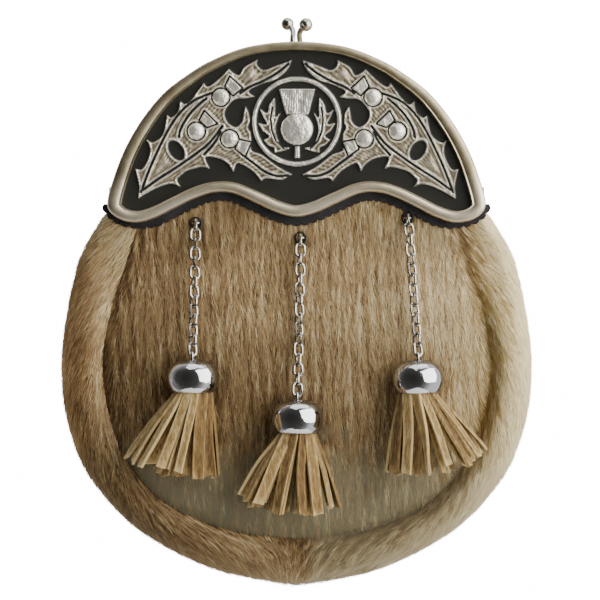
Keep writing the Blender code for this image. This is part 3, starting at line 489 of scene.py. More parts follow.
def tan_suede():
    # Split leather with its nap up: matt, mottled, paler on the cut edges
    made, tree, shader = new_material("tan_suede")
    tone = add_node(tree, "Attribute", "Fac", {"attribute_name": "tone"})
    mottle = add_node(tree, "Math", "Value", {"operation": "ADD"}, in0=tone,
                      in1=object_noise(tree, 0.9, 5.0, (1.0, 1.0, 0.16), 0.7))
    colour = add_node(tree, "ValToRGB", "Color", in0=mottle,
                      stops=((0.36, "#43301a"), (0.58, "#705938"), (0.80, "#967c4f"),
                             (1.0, "#c6af7d")))
    nap = add_node(tree, "Bump", "Normal", Distance=0.35 * MM, Strength=0.9,
                   Height=object_noise(tree, 0.6, 4.0, (1.0, 1.0, 0.3)))
    set_sockets(shader, Base_Color=colour, Roughness=0.95, Normal=nap,
                Specular_IOR_Level=0.15, Sheen_Weight=0.12, Sheen_Roughness=0.5)
    return made


SILVER = antique_silver()
RELIEF = cast_relief()
NICKEL = nickel_plate()
CHROME = chrome_plate()
CALF = black_leather()
COAT = hair_coat("hair_on_hide", "#47331d", "#8e734e", "#bea274", "#f0deb2")
UNDERCOAT = hair_coat("hide_undercoat", "#2f2113", "#4c3a25", "#6b5639", "#8c7652")
SUEDE = tan_suede()
THREAD = waxed_thread()


# ---- making meshes
def skinned(rings, wrap_rings=False, wrap_points=False):
    """A grid laid over rings of points, each with the same count."""
    rings = [list(ring) for ring in rings]
    if wrap_points:
        rings = [ring + ring[:1] for ring in rings]
    if wrap_rings:
        rings = rings + rings[:1]
    columns, rows = len(rings[0]) - 1, len(rings) - 1
    bm = bmesh.new()
    bmesh.ops.create_grid(bm, x_segments=columns, y_segments=rows, size=1.0)
    for vert in bm.verts:
        point = rings[round((vert.co.y + 1) / 2 * rows)][round((vert.co.x + 1) / 2 * columns)]
        vert.co = Vector(point) * MM
    bmesh.ops.remove_doubles(bm, verts=bm.verts, dist=WELD)
    return bm


def add_object(name, data):
    made = bpy.data.objects.new(name, data)
    bpy.context.scene.collection.objects.link(made)
    return made


def add_piece(name, mesh, surface):
    """Show a finished mesh as a piece that rides on the part."""
    mesh.materials.append(surface)
    made = add_object(name, mesh)
    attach(made, "root")
    return made


def piece(bm, name, surface, sharp=40.0):
    """Turn a bmesh into a smooth piece, creased where it turns past sharp degrees."""
    bmesh.ops.recalc_face_normals(bm, faces=bm.faces)
    mesh = bpy.data.meshes.new(name)
    bm.to_mesh(mesh)
    bm.free()
    mesh.shade_smooth()
    mesh.set_sharp_from_angle(angle=math.radians(sharp))
    return add_piece(name, mesh, surface)


def fill_openings(bm):
    bmesh.ops.holes_fill(bm, edges=[edge for edge in bm.edges if edge.is_boundary], sides=0)


def store(mesh, name, values):
    """A number for every corner of a mesh, for its material to read."""
    mesh.attributes.new(name, 'FLOAT', 'POINT').data.foreach_set(
        "value", np.asarray(values, np.float32))


def corners(mesh):
    flat = np.empty(len(mesh.vertices) * 3, np.float32)
    mesh.vertices.foreach_get("co", flat)
    return flat.reshape(-1, 3)


def turned(bm, profile, centre, axis, steps):
    """Spin a profile of radius and height round an axis through centre."""
    turn = Vector((0, 0, 1)).rotation_difference(Vector(axis)).to_matrix()
    verts = [bm.verts.new((Vector(centre) + turn @ Vector((radius, 0.0, height))) * MM)
             for radius, height in profile]
    edges = [bm.edges.new(pair) for pair in zip(verts, verts[1:])]
    bmesh.ops.spin(bm, geom=verts + edges, cent=Vector(centre) * MM, axis=turn @ Vector((0, 0, 1)),
                   dvec=(0, 0, 0), angle=2 * math.pi, steps=steps, use_merge=True)
    bmesh.ops.remove_doubles(bm, verts=bm.verts, dist=WELD)


def arc(centre, radius, start, end, steps):
    """Points of a round stretch, in degrees from the first axis."""
    angles = [math.radians(start + (end - start) * step / steps) for step in range(steps + 1)]
    return [(centre[0] + radius * math.cos(angle), centre[1] + radius * math.sin(angle))
            for angle in angles]


def add_wire(bm, path, radius, sides=8, closed=False):
    """A round wire along a path, added to a bmesh."""
    path = [Vector(point) for point in path]
    rings = []
    count = len(path)
    across = None
    for index, point in enumerate(path):
        before = path[index - 1] if index or closed else point
        after = path[(index + 1) % count] if index + 1 < count or closed else point
        along = (after - before).normalized()
        if across is None:
            across = along.orthogonal().normalized()
        across = (across - along * across.dot(along)).normalized()
        other = along.cross(across)
        rings.append([point + (across * math.cos(turn) + other * math.sin(turn)) * radius
                      for turn in (2 * math.pi * side / sides for side in range(sides))])
    made = skinned(rings, wrap_rings=closed, wrap_points=True)
    if not closed:
        fill_openings(made)
    merge_into(bm, made)


def merge_into(bm, other):
    """Move one bmesh's faces into another."""
    mesh = bpy.data.meshes.new("merge")
    other.to_mesh(mesh)
    other.free()
    bm.from_mesh(mesh)
    bpy.data.meshes.remove(mesh)


# ---- cantle
RIM_PROFILE = (  # share of the rim's width from its outer edge, share of its height
    (0.0, 0.10), (0.02, 0.44), (0.06, 0.68), (0.12, 0.83), (0.21, 0.92), (0.33, 0.97),
    (0.50, 1.0), (0.67, 0.97), (0.78, 0.91), (0.84, 0.87), (0.89, 0.97), (0.94, 0.97),
    (0.98, 0.60), (1.0, -0.05))
HEM_LIP = 0.2
EAR_TUCK = 0.2


def make_cantle_casting():
    """Raised rim and side flange, one closed ring, with its hinge ears."""
    rings = []
    inner = FLANGE_INSET + FLANGE_WALL
    for index, (row, way) in enumerate(zip(CANTLE_EDGE, CANTLE_WAYS)):
        on_arch = min(index, len(CANTLE_EDGE) - index) < ARCH_POINTS
        rear_y = FRAME_SPLIT_Y - GAP / 2 if on_arch else PLATE_BACK_Y + HEM_LIP
        section = [(row[2], PLATE_BACK_Y), (inner, PLATE_BACK_Y), (inner, rear_y),
                   (FLANGE_INSET, rear_y), (FLANGE_INSET, PLATE_BACK_Y), (0.0, PLATE_BACK_Y)]
        section += [(row[2] * share, PLATE_FRONT_Y - RIM_HEIGHT * height)
                    for share, height in RIM_PROFILE]
        edge = Vector(row[:2])
        rings.append([at_depth(edge - way * inset, y) for inset, y in section])
    bm = skinned(rings, wrap_rings=True, wrap_points=True)
    ear_x = CANTLE_EDGE[ARCH_POINTS - 1][0] - FLANGE_INSET - FLANGE_WALL / 2 - EAR_TUCK
    half, flat = FLANGE_WALL / 2, EAR_RADIUS - CHAMFER
    ear = ((0.0, -half), (flat, -half), (EAR_RADIUS, CHAMFER - half),
           (EAR_RADIUS, half - CHAMFER), (flat, half), (0.0, half))
    for sign in (-1, 1):
        turned(bm, ear, (sign * ear_x, FRAME_SPLIT_Y, HINGE_Z), (1, 0, 0), 40)
    return piece(bm, "cantle_rim", SILVER, 50)


def leaf_outline(lobes, steps=4):
    """A closed outline, smooth from each lobe's tip to the next."""
    made = []
    for lobe, following in zip(lobes, lobes[1:] + lobes[:1]):
        made += smooth_rows(lobe + following[:1], steps)[:-1]
    return made


def line_distance(x, z, line):
    nearest = np.full(x.shape, 1e6)
    for (ax, az), (bx, bz) in zip(line, line[1:]):
        ex, ez = bx - ax, bz - az
        along = np.clip(((x - ax) * ex + (z - az) * ez) / (ex * ex + ez * ez + 1e-9), 0, 1)
        nearest = np.minimum(nearest, np.hypot(x - ax - along * ex, z - az - along * ez))
    return nearest


def inside_distance(x, z, outline):
    """Distance to a closed outline, positive inside it."""
    outline = list(outline)
    inside = np.zeros(x.shape, bool)
    for (ax, az), (bx, bz) in zip(outline, outline[1:] + outline[:1]):
        if az != bz:
            inside ^= ((az > z) != (bz > z)) & (x < ax + (z - az) / (bz - az) * (bx - ax))
    nearest = line_distance(x, z, outline + outline[:1])
    return np.where(inside, nearest, -nearest)


def cast_edge(edge):
    """Cast relief from the distance in from its edge: a lip, then a shallow dish."""
    lip = np.clip(edge / 0.40, 0.0, 1.0)
    dish = fade(edge, 0.5, 1.2) * (1.0 - 0.55 * fade(edge, 1.2, 3.8))
    return RELIEF_TOP * lip * (1.0 - 0.58 * dish), dish * (lip >= 1.0)


def topmost(height, hollow, new_height, new_hollow):
    """Whichever of two reliefs stands higher at each place."""
    return np.maximum(height, new_height), np.where(new_height > height, new_hollow, hollow)


def relief(x, z):
    """Height of the ornament over the enamel and how hollow it is, at each place."""
    across = x - EMBLEM[0]
    side = np.abs(across)
    gap_x, gap_z, gap_a, gap_b, turn = SPRAY_GAP
    u = (side - gap_x) * math.cos(turn) + (z - gap_z) * math.sin(turn)
    v = (z - gap_z) * math.cos(turn) - (side - gap_x) * math.sin(turn)
    cuts = [inside_distance(side, z, leaf_outline(SPRAY)),
            (np.hypot(u / gap_a, v / gap_b) - 1.0) * gap_a]
    cuts += [line_distance(side, z, smooth_rows(vein, 3)) - VEIN_HALF_WIDTH
             for vein in SPRAY_VEINS]
    cuts += [np.hypot(side - bud_x, z - bud_z) - BUD_RADIUS - BUD_MOAT for bud_x, bud_z in BUDS]
    cuts += [-inside_distance(side, z, tuft) - TUFT_MOAT for tuft in BUD_TUFTS]
    height, hollow = cast_edge(np.minimum.reduce(cuts))
    point_x, point_z = SPRAY_POINT
    fan = RIBS * np.arctan2(z - point_z, point_x - side)
    outer = fade(np.hypot(point_x - side, z - point_z), *RIBS_DOUBLE)
    ribs = (1.0 - outer) * np.cos(fan) + outer * np.cos(2.0 * fan)
    height += RIB_HEIGHT * ribs * hollow
    hollow = hollow * (0.88 - 0.26 * ribs)

    leaf = inside_distance(side, z, leaf_outline(EMBLEM_LEAF))
    leaf = np.minimum(leaf, line_distance(side, z, EMBLEM_VEIN) - FINE_VEIN_HALF_WIDTH)
    height, hollow = topmost(height, hollow, *cast_edge(leaf))
    for tuft in BUD_TUFTS + (TUFT, STEM):
        inside = inside_distance(side if tuft in BUD_TUFTS else across, z, tuft)
        high = (RELIEF_TOP + 0.35) * np.clip(inside / 0.35, 0.0, 1.0)
        high -= 0.15 * fade(inside, 0.5, 1.0)
        if tuft is TUFT:
            bristle = 0.07 * np.cos(across * (2.6 + 0.05 * (z - 20.0)) * 2.4)
            high += np.where(inside > 0.9, bristle, 0.0)
        height, hollow = topmost(height, hollow, high, 0.0)
    balls = [(side - bud_x, z - bud_z, BUD_RADIUS, 1.9) for bud_x, bud_z in BUDS]
    balls.append((x - HEAD[0], z - HEAD[1], HEAD[2], 2.0))
    for ball_x, ball_z, radius, rise in balls:
        share = np.hypot(ball_x, ball_z) / radius
        dome = np.where(share < 1.0, 0.9 + rise * np.sqrt(np.clip(1.0 - share ** 2, 0, 1)), 0.0)
        height, hollow = topmost(height, hollow, dome, 0.15 * share)
    away = np.abs(np.hypot(across, z - EMBLEM[1]) - EMBLEM_RING) / RING_HALF_WIDTH
    ring = np.where(away < 1.0, 1.9 * np.sqrt(np.clip(1.0 - away ** 2, 0, 1)), 0.0)
    return topmost(height, hollow, ring, 0.0)


def make_relief():
    """The plate inside the rim: enamel ground and cast ornament, on one fine grid."""
    rim_inner = [Vector(row[:2]) - way * (row[2] - RELIEF_TUCK)
                 for row, way in zip(CANTLE_EDGE, CANTLE_WAYS)]
    wide = max(point[0] for point in rim_inner)
    low, high = min(point[1] for point in rim_inner), max(point[1] for point in rim_inner)
    cell = RELIEF_CELL
    bm = bmesh.new()
    bmesh.ops.create_grid(bm, x_segments=round(2 * wide / cell),
                          y_segments=round((high - low) / cell), size=1.0)
    bmesh.ops.scale(bm, verts=bm.verts, vec=(wide * MM, (high - low) / 2 * MM, 1.0))
    bmesh.ops.translate(bm, verts=bm.verts, vec=(0.0, (high + low) / 2 * MM, 0.0))
    x, z = np.array([vert.co.xy for vert in bm.verts]).T / MM
    outside = inside_distance(x, z, rim_inner) < 0.0
    bmesh.ops.delete(bm, geom=[vert for vert, out in zip(bm.verts, outside) if out],
                     context='VERTS')
    x, z = x[~outside], z[~outside]
    height, hollow = relief(x, z)
    for vert, place_x, place_z, rise in zip(bm.verts, x, z, height):
        vert.co = Vector((place_x, PLATE_FRONT_Y - rise, place_z)) * MM
    rim = [edge for edge in bm.edges if edge.is_boundary]
    grown = bmesh.ops.extrude_edge_only(bm, edges=rim)["geom"]
    for vert in (item for item in grown if isinstance(item, bmesh.types.BMVert)):
        vert.co.y = PLATE_BACK_Y * MM
    fill_openings(bm)
    made = piece(bm, "cantle_relief", RELIEF, 80)
    back = np.zeros(len(made.data.vertices) - len(height))
    store(made.data, "height", np.concatenate([height / RELIEF_TOP, back]))
    store(made.data, "hollow", np.concatenate([hollow, back]))


def make_cantle_mat():
    """Pinked leather under the rim, with a half-round to each scallop."""
    hem = slice(ARCH_POINTS, len(CANTLE_EDGE) - ARCH_POINTS + 1)
    line = np.array([row[:2] for row in CANTLE_EDGE[hem]])
    ways = np.array(CANTLE_WAYS[hem])
    lengths = distance_along(line)
    pinks = round(lengths[-1] / PINK_PITCH)
    front = MAT_BACK_Y - MAT_WALL
    rings = []
    for step, at in enumerate(np.linspace(0.0, lengths[-1], pinks * PINK_STEPS + 1)):
        place, way = (Vector([np.interp(at, lengths, column) for column in rows.T])
                      for rows in (line, ways))
        way.normalize()
        shows = MAT_SHOWS - MAT_TAPER * float(fade(abs(place.x), *MAT_TAPER_XS))
        scallop = PINK_DEPTH * (1.0 - abs(math.sin(math.pi * step / PINK_STEPS)) ** 0.7)
        outer = place + way * (shows - scallop)
        inner = place - way * MAT_TUCK
        rings.append([at_depth(inner, MAT_BACK_Y), at_depth(inner, front),
                      at_depth(outer - way * CHAMFER, front),
                      at_depth(outer, front + CHAMFER), at_depth(outer, MAT_BACK_Y)])
    bm = skinned(rings, wrap_points=True)
    fill_openings(bm)
    return piece(bm, "pinked_mat", CALF, 35)


# ---- hide
def panel_rings(columns, steps):
    """Level rows of the front panel's face, top to bottom."""
    inset = FLANGE_INSET + FLANGE_WALL + 2 * GAP
    half = [Vector(row[:2]) - way * inset
            for row, way in zip(CANTLE_EDGE[:ARCH_POINTS:2], CANTLE_WAYS[::2])]
    spokes = pouch_spokes(steps)
    half += [seam - (outer - seam).normalized() * GAP
             for seam, outer in spokes[:len(spokes) // 2 + 1]]
    shares = np.sin(np.linspace(-math.pi / 2, math.pi / 2, columns))
    return [[(point.x * share, float(panel_face_y(point.x * share, point.y)), point.y)
             for share in shares] for point in half]


def gusset_rings(steps, section_steps):
    """Sections of the puffed band, from the right top round to the left top."""
    section = smooth_rows(GUSSET_SECTION[:-1], section_steps) + [Vector(GUSSET_SECTION[-1])]
    rings = []
    for seam, outer in pouch_spokes(steps):
        front = float(panel_face_y(seam.x, seam.y))
        swell = (PANEL_TOP_Y - front) / (PANEL_TOP_Y - SEAM_Y)
        start = seam + (outer - seam).normalized() * GAP
        ring = []
        for out, depth in section:
            depth = 1.0 + (depth - 1.0) * swell if depth > 1.0 else max(0.0, depth)
            ring.append(at_depth(start.lerp(outer, out),
                                 GUSSET_BACK_Y + (front - GUSSET_BACK_Y) * depth))
        rings.append(ring)
    return rings


def evened(total, waves):
    """Scale a sum of sine waves to about -1 to 1."""
    return total / math.sqrt(waves / 2) / 1.6


def ripple(points, wavelength, stretch=(1.0, 1.0, 1.0), waves=6):
    """Smooth repeatable noise, about -1 to 1, over places in mm."""
    total = np.zeros(len(points))
    for _ in range(waves):
        way = DICE.normal(size=3)
        way *= 2 * math.pi / wavelength / np.linalg.norm(way) * DICE.uniform(0.6, 1.5)
        total += np.sin(points @ (way * stretch) + DICE.uniform(0, 2 * math.pi))
    return evened(total, waves)


def streaks(beside, along, width, ratio, waves=14):
    """Narrow repeatable streaks, about -1 to 1, that run with the hair."""
    total = np.zeros(len(beside))
    for _ in range(waves):
        pace = 2 * math.pi / width * DICE.uniform(0.45, 1.6)
        total += np.sin(pace * beside + DICE.normal(0, pace / ratio) * along
                        + DICE.uniform(0, 2 * math.pi))
    return evened(total, waves)


def coat_tone(points, on_panel, seam, streak=0.0):
    """How pale the coat is at each place, with painted shade and light in it, and how olive; seam
    is mm from the seam.
    """
    x, z = points[:, 0], points[:, 2]
    # painted light: the rise with x makes the coat paler towards the right; the streaks and
    # ripples are its own
    tone = 0.49 + 0.25 * streak + 0.05 * ripple(points, 30.0) + 0.0021 * x
    tone += 0.06 * ripple(points, 9.0, (1.0, 1.0, 0.5))
    right = fade(x, -30.0, 30.0)
    crease = fade(seam, 3.0, 0.0)
    low = fade(z, -105.0, -145.0)
    if on_panel:
        # painted shade into the seam; paler just below the cantle, and painted light towards the
        # right
        tone -= 0.10 * fade(seam, 9.0, 0.0) + (0.14 + 0.12 * right + 0.14 * low) * crease
        ragged = z - 9.0 * ripple(points, 7.0)
        olive = (0.64 - 0.20 * streak) * fade(ragged, -114.0, -138.0)
        tone += 0.05 * fade(z, -20.0, -32.0) - 0.09 * fade(z, -70.0, -110.0)
        tone += 0.09 * fade(x, 30.0, 60.0)
        return tone, olive
    # on the left paler, with a painted highlight by the seam; on the right painted shade by the
    # seam, and patchy there
    tone += 0.12 + (1.0 - right) * (0.10 + 0.12 * fade(seam, 12.0, 0.0))
    tone += right * (0.12 * ripple(points, 7.0) - 0.42 * fade(seam, 15.0, 0.0) - 0.34 * crease)
    # paler towards the right: partly the coat's cream, partly painted light
    tone += 0.18 * fade(x, 20.0, 80.0)
    # along the bottom dark to the left of the middle, paler and olive to its right
    east = fade(x, 2.0, 12.0)
    tone -= low * (0.18 * (1.0 - east) + 0.14 * fade(x, -20.0, -60.0))
    tone += low * east * (0.08 + 0.14 * ripple(points, 8.0))
    return tone, 0.35 * low * east


def make_skin(name, rings, node, on_panel):
    """The hide under the hair, a wall as thick as the solid's."""
    bm = skinned(rings)
    bmesh.ops.recalc_face_normals(bm, faces=bm.faces)
    foremost = min(bm.faces, key=lambda face: face.calc_center_median().y)
    if foremost.normal.y > 0:
        bmesh.ops.reverse_faces(bm, faces=bm.faces)
    bmesh.ops.solidify(bm, geom=bm.faces, thickness=HIDE_WALL * MM)
    made = piece(bm, name, UNDERCOAT, 60)
    tone, olive = coat_tone(corners(made.data) / MM, on_panel, 20.0)
    store(made.data, "tone", tone)
    store(made.data, "olive", olive)
    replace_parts(made, node)


def unit(vectors):
    return vectors / np.maximum(np.linalg.norm(vectors, axis=-1, keepdims=True), 1e-9)


def lattice_frame(lattice):
    """Outward normals and the two grid directions at each corner of a lattice."""
    along, across = np.gradient(lattice, axis=(0, 1))
    normal = unit(np.cross(along, across))
    outwards = ((lattice - POUCH_MIDDLE) * normal).sum() > 0
    return normal if outwards else -normal, along, across


def roots_on(lattice, count):
    """Places spread evenly over a lattice, as cell corners and shares."""
    a, b, c = lattice[:-1, :-1], lattice[1:, :-1], lattice[:-1, 1:]
    area = np.linalg.norm(np.cross(b - a, c - a), axis=2).ravel()
    cell = DICE.choice(area.size, count, p=area / area.sum())
    row, column = np.divmod(cell, lattice.shape[1] - 1)
    return row, column, DICE.random(count)[:, None], DICE.random(count)[:, None]


def sampled(values, row, column, u, v):
    near = values[row, column] * (1 - u) + values[row + 1, column] * u
    far = values[row, column + 1] * (1 - u) + values[row + 1, column + 1] * u
    return near * (1 - v) + far * v


def tassel_clearance(points, near, far):
    """0 within near of a cap's middle, 1 from far on."""
    clear = np.ones(len(points))
    for _, _, _, cap_x, cap_z, *_ in TASSELS:
        away = np.hypot(points[:, 0] - cap_x, points[:, 2] - cap_z)
        clear = np.minimum(clear, fade(away, near, far))
    return clear


def panel_coat():
    """The front panel's lattice, its outward normals and the way its hair lies."""
    lattice = np.array(panel_rings(41, 8))
    lattice = lattice[lattice[:, 0, 2] < HAIR_TOP_Z]
    return lattice, lattice_frame(lattice)[0], np.broadcast_to(PANEL_LIE, lattice.shape)


def gusset_coat():
    """The gusset's: outwards from the seam at the bottom, downwards at the sides."""
    lattice = np.array(gusset_rings(8, 5))
    normal, along, across = lattice_frame(lattice)
    x = lattice[..., :1]
    low = fade(np.abs(x), 45.0, 0.0)
    down = unit(along) * np.clip(x / 16.0, -1.0, 1.0) * (0.95 - 0.55 * low)
    return lattice, normal, down + unit(across) * (0.35 + 0.5 * low)


def make_hair(name, surface, count, length, lift, width):
    """Locks of hair joined in one mesh: each a three-sided blade on the hide."""
    on_panel = surface == "panel"
    lattice, normal, flow = panel_coat() if on_panel else gusset_coat()
    spots = roots_on(lattice, count)
    root = sampled(lattice, *spots)
    up = unit(sampled(normal, *spots))
    way = unit(sampled(flow, *spots))
    side = np.cross(up, way)
    x, z = root[:, 0], root[:, 2]
    if on_panel:
        beside, onward = x, z
        seam = np.interp(z, SEAM_HEIGHTS, SEAM_WIDTHS) - np.abs(x)
        way[:, 0] += np.sign(x) * 0.6 * fade(seam, 5.0, 0.0)
    else:
        onward, seam = (sampled(distance_along(lattice, axis)[..., None], *spots)[:, 0]
                        for axis in (0, 1))
        beside = 0.93 * seam - 0.35 * onward * np.sign(x)
    keep = np.ones(count, bool)
    for _, hole_x, hole_z, *_ in TASSELS:
        aside, over = np.abs(x - hole_x), z - hole_z
        keep &= ((np.hypot(aside, over) > EYELET_CLEAR)
                 & ((aside > OVERHANG_CLEAR) | (over < 0.0) | (over > length)))
    wander = 0.10 * ripple(root, 9.0) + 0.10 * ripple(root, 2.4) + DICE.normal(0, 0.10, count)
    way = unit(way + side * wander[:, None])
    way = unit(way - up * (way * up).sum(1, keepdims=True))
    side = np.cross(up, way)
    clear = tassel_clearance(root, *CAP_FLATTENS) if on_panel else 1.0
    reach = (length * DICE.uniform(*LENGTH_SPREAD, count))[:, None]
    rise = (lift * DICE.uniform(*LIFT_SPREAD, count) * (0.25 + 0.75 * clear))[:, None]
    half = (width * DICE.uniform(*WIDTH_SPREAD, count) / 2)[:, None]
    tone, olive = coat_tone(root, on_panel, seam, streaks(beside, onward, 3.0, 9.0))
    tone = tone + DICE.normal(0, 0.11, count)
    if on_panel:
        # painted shade round each cap, where its shadow falls on the coat
        tone -= CAP_PAINTED_SHADE * (1.0 - tassel_clearance(root, *CAP_PAINTED_SHADE_REACH))
    base = root - up * ROOT_DEPTH
    blades = np.stack([base - side * half, base + side * half, base + up * half * 1.1,
                       root + way * reach + up * rise], axis=1)[keep]
    shade = (tone[:, None] + BLADE_TONES)[keep]
    facing = np.stack([up - side * 0.5, up + side * 0.5, up, up + way * 0.25], axis=1)[keep]
    sides = np.add.outer(4 * np.arange(len(blades)), BLADE_SIDES).reshape(-1, 3)
    mesh = bpy.data.meshes.new(name)
    mesh.from_pydata((blades.reshape(-1, 3) * MM).tolist(), [], sides.tolist())
    mesh.shade_smooth()
    mesh.normals_split_custom_set_from_vertices(unit(facing.reshape(-1, 3)).tolist())
    store(mesh, "tone", shade.ravel())
    store(mesh, "olive", np.repeat(olive[keep], 4))
    add_piece(name, mesh, COAT)


# ---- tassels
EYELET_PROFILE = (  # radius, height over the hide
    (0.0, 0.25), (1.9, 0.25), (2.1, 0.7), (2.4, 0.85), (2.7, 0.7), (2.8, 0.1), (2.6, -0.4),
    (0.0, -0.4))


def make_anchor(side, hole_x, hole_z):
    """A wire staple through a black eyelet in the hide."""
    face = float(panel_face_y(hole_x, hole_z))
    bar_y = bar_place(hole_x, hole_z).y
    leg_x = hole_x - STAPLE_HALF_WIDTH
    left = [(leg_x, face + HIDE_WALL + STAPLE_TAIL)]
    left += arc((leg_x + STAPLE_BEND, bar_y + STAPLE_BEND), STAPLE_BEND, 180, 270, 4)
    right = [(2 * hole_x - x, y) for x, y in reversed(left)]
    bm = bmesh.new()
    add_wire(bm, [(x, y, hole_z) for x, y in left + right], BAR_RADIUS, 10)
    staple = piece(bm, "staple_" + side, NICKEL)
    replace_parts(staple, "chain_anchor_" + side)
    bm = bmesh.new()
    turned(bm, EYELET_PROFILE, (hole_x, face, hole_z), (0, -1, 0), 28)
    piece(bm, "eyelet_" + side, CALF)


def oval_link(centre, along, flat, length):
    """Path of one link: two half rounds joined by straights."""
    radius = (LINK_WIDTH - WIRE) / 2
    rise = (length - LINK_WIDTH) / 2
    face = (flat - along * flat.dot(along)).normalized()
    half = arc((0.0, rise), radius, 9, 171, 9)
    return [centre + face * x + along * y for x, y in half + [(-x, -y) for x, y in half]]


def make_chain(side, hole_x, hole_z, cap_x, cap_z):
    """Round-wire links, each through the next and turned a quarter."""
    top = bar_place(hole_x, hole_z) + Vector((0, 0, BAR_RADIUS + LINK_REACH))
    bottom = eye_centre(cap_centre(cap_x, cap_z))
    bottom.z += EYE_RADIUS - EYE_WIRE - LINK_REACH
    run = bottom - top
    count = 2 * round((run.length / LINK_PITCH) / 2)
    pitch = run / count
    along = -pitch.normalized()
    bm = bmesh.new()
    for index in range(count):
        share = (index + 0.5) / count
        turn = float(np.interp(share, TWIST_PLACES, CHAIN_TWISTS[side]))
        turn += 0.0 if index % 2 else math.pi / 2
        flat = Vector((math.cos(turn), math.sin(turn), 0.0))
        add_wire(bm, oval_link(top + pitch * (index + 0.5), along, flat, pitch.length + 2 * WIRE),
                 WIRE / 2, 8, closed=True)
    made = piece(bm, "links_" + side, NICKEL)
    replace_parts(made, "chain_" + side)


CAP_PROFILE = (  # radius, height: outside from the crown down, then the hollow inside
    (0.0, 7.2), (2.2, 7.1), (4.6, 6.7), (6.8, 5.9), (8.7, 4.6), (10.0, 2.8), (10.7, 0.8),
    (10.8, -1.2), (10.6, -2.8), (10.2, -4.3), (9.6, -5.6), (8.9, -6.6), (8.4, -7.1), (8.1, -7.2),
    (7.9, -7.0), (7.9, -5.8), (9.3, -2.0), (9.5, 0.4), (7.6, 4.0), (4.0, 5.6), (0.0, 6.0))


def make_cap(side, centre):
    """A pressed dome with a rolled lip and a wire eye on top."""
    bm = bmesh.new()
    turned(bm, CAP_PROFILE, centre, (0, 0, 1), 56)
    middle = eye_centre(centre)
    ring = arc((middle.y, middle.z), EYE_RADIUS, 0, 342, 19)
    add_wire(bm, [(middle.x, y, z) for y, z in ring], EYE_WIRE, 8, closed=True)
    made = piece(bm, "dome_" + side, CHROME, 50)
    # painted shade: the sides turned away from the front are drawn greyer
    facing = np.array([-vert.normal.y for vert in made.data.vertices])
    store(made.data, "tarnish", fade(facing, 0.55, 0.19))
    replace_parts(made, "tassel_cap_" + side)


THONG_ROWS = (  # count, offset, share of the root's radius, of the fan and of the depth
    (14, 0.0, 1.0, 1.0, 1.0), (12, 0.5, 0.74, 0.86, 0.66), (8, 0.2, 0.42, 0.60, 0.30))
THONG_WALL = 1.1
THONG_BULGE = 4.6            # how far the outer row's ends stand off
THONG_CLEAR = 1.9            # from a thong's middle line to the panel
THONG_TOP_HALF = 1.3         # half widths, inside the cap and lower down
THONG_HALVES = (1.6, 2.6)
THONG_LENGTHS = (0.89, 0.99)
THONG_CUPS = (-0.5, 0.2)
THONG_SLANTS = (-0.7, 0.7)
THONG_SHADES = (0.0, 0.42)
FOLDS = ((-1.0, 0.0), (-0.4, 1.0), (0.4, 1.0), (1.0, 0.0))   # place across, share of the cup


def thong_spine(centre, angle, length, lean, reach, shares):
    """Middle line of one thong, from inside the cap down to its cut end."""
    root_share, fan_share, depth_share = shares
    out_x, out_y = math.cos(angle), math.sin(angle)
    root = THONG_ROOT * root_share
    sideways = (lean + out_x * (reach - THONG_ROOT)) * fan_share + DICE.uniform(-1.0, 1.0)
    drop = math.sqrt(length ** 2 - sideways ** 2)
    mouth = centre + Vector((out_x * root, out_y * root, -CAP_HALF_HEIGHT))
    low = mouth + Vector((sideways, out_y * THONG_BULGE * depth_share, -drop))
    middle = mouth.lerp(low, 0.5) + Vector((DICE.uniform(-0.9, 0.9), DICE.uniform(-0.9, 0.5), 0.4))
    spine = smooth_rows([mouth + Vector((0, 0, 2.6)), mouth + Vector((0, 0, -0.6)), middle, low],
                        5)
    for point in spine:
        point.y = min(point.y, float(panel_face_y(point.x, point.z)) - THONG_CLEAR)
    return spine


def make_thong(spine, angle):
    """One suede strip along its middle line, with its own twist, cup and slanted end."""
    widest = DICE.uniform(*THONG_HALVES)
    twist = DICE.normal(0.0, 0.45)
    cup = DICE.uniform(*THONG_CUPS)
    slant = DICE.uniform(*THONG_SLANTS)
    rings = []
    for step, point in enumerate(spine):
        share = step / (len(spine) - 1)
        turn = angle + math.pi / 2 + twist * share
        across = Vector((math.cos(turn), math.sin(turn), 0.0))
        bowed = Vector((math.sin(turn), -math.cos(turn), 0.0)) * cup * share
        across *= THONG_TOP_HALF + (widest - THONG_TOP_HALF) * min(1.0, 2.0 * share) ** 0.7
        across.z = slant if point is spine[-1] else 0.0
        rings.append([point + across * place + bowed * fold for place, fold in FOLDS])
    thong = skinned(rings)
    tone = thong.verts.layers.float.new("tone")
    shade = DICE.uniform(*THONG_SHADES)
    for vert in thong.verts:
        vert[tone] = shade + (0.20 if vert.is_boundary else -0.03)
    bmesh.ops.solidify(thong, geom=thong.faces, thickness=THONG_WALL * MM)
    return thong


def make_skirt(side, centre, thong_length, fan_left, fan_right):
    """Loose suede thongs in three rows, each of its own length."""
    bm = bmesh.new()
    bm.verts.layers.float.new("tone")
    lean, reach = (fan_right - fan_left) / 2, (fan_right + fan_left) / 2
    for count, offset, *shares in THONG_ROWS:
        for index in range(count):
            angle = 2 * math.pi * (index + offset + DICE.uniform(-0.25, 0.25)) / count
            length = thong_length * DICE.uniform(*THONG_LENGTHS)
            spine = thong_spine(centre, angle, length, lean, reach, shares)
            merge_into(bm, make_thong(spine, angle))
    made = piece(bm, "thongs_" + side, SUEDE, 35)
    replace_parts(made, "tassel_skirt_" + side)


# ---- thread
STITCH_PITCH = 3.8
STITCH_LENGTH = 2.7
THREAD_RADIUS = 0.3
STITCH_SHAPE = ((0.0, -0.25), (0.18, 0.15), (0.82, 0.15), (1.0, -0.25))   # share, lift
STITCH_INSET = 3.2
LOOP_STITCH_HALF = 8.5


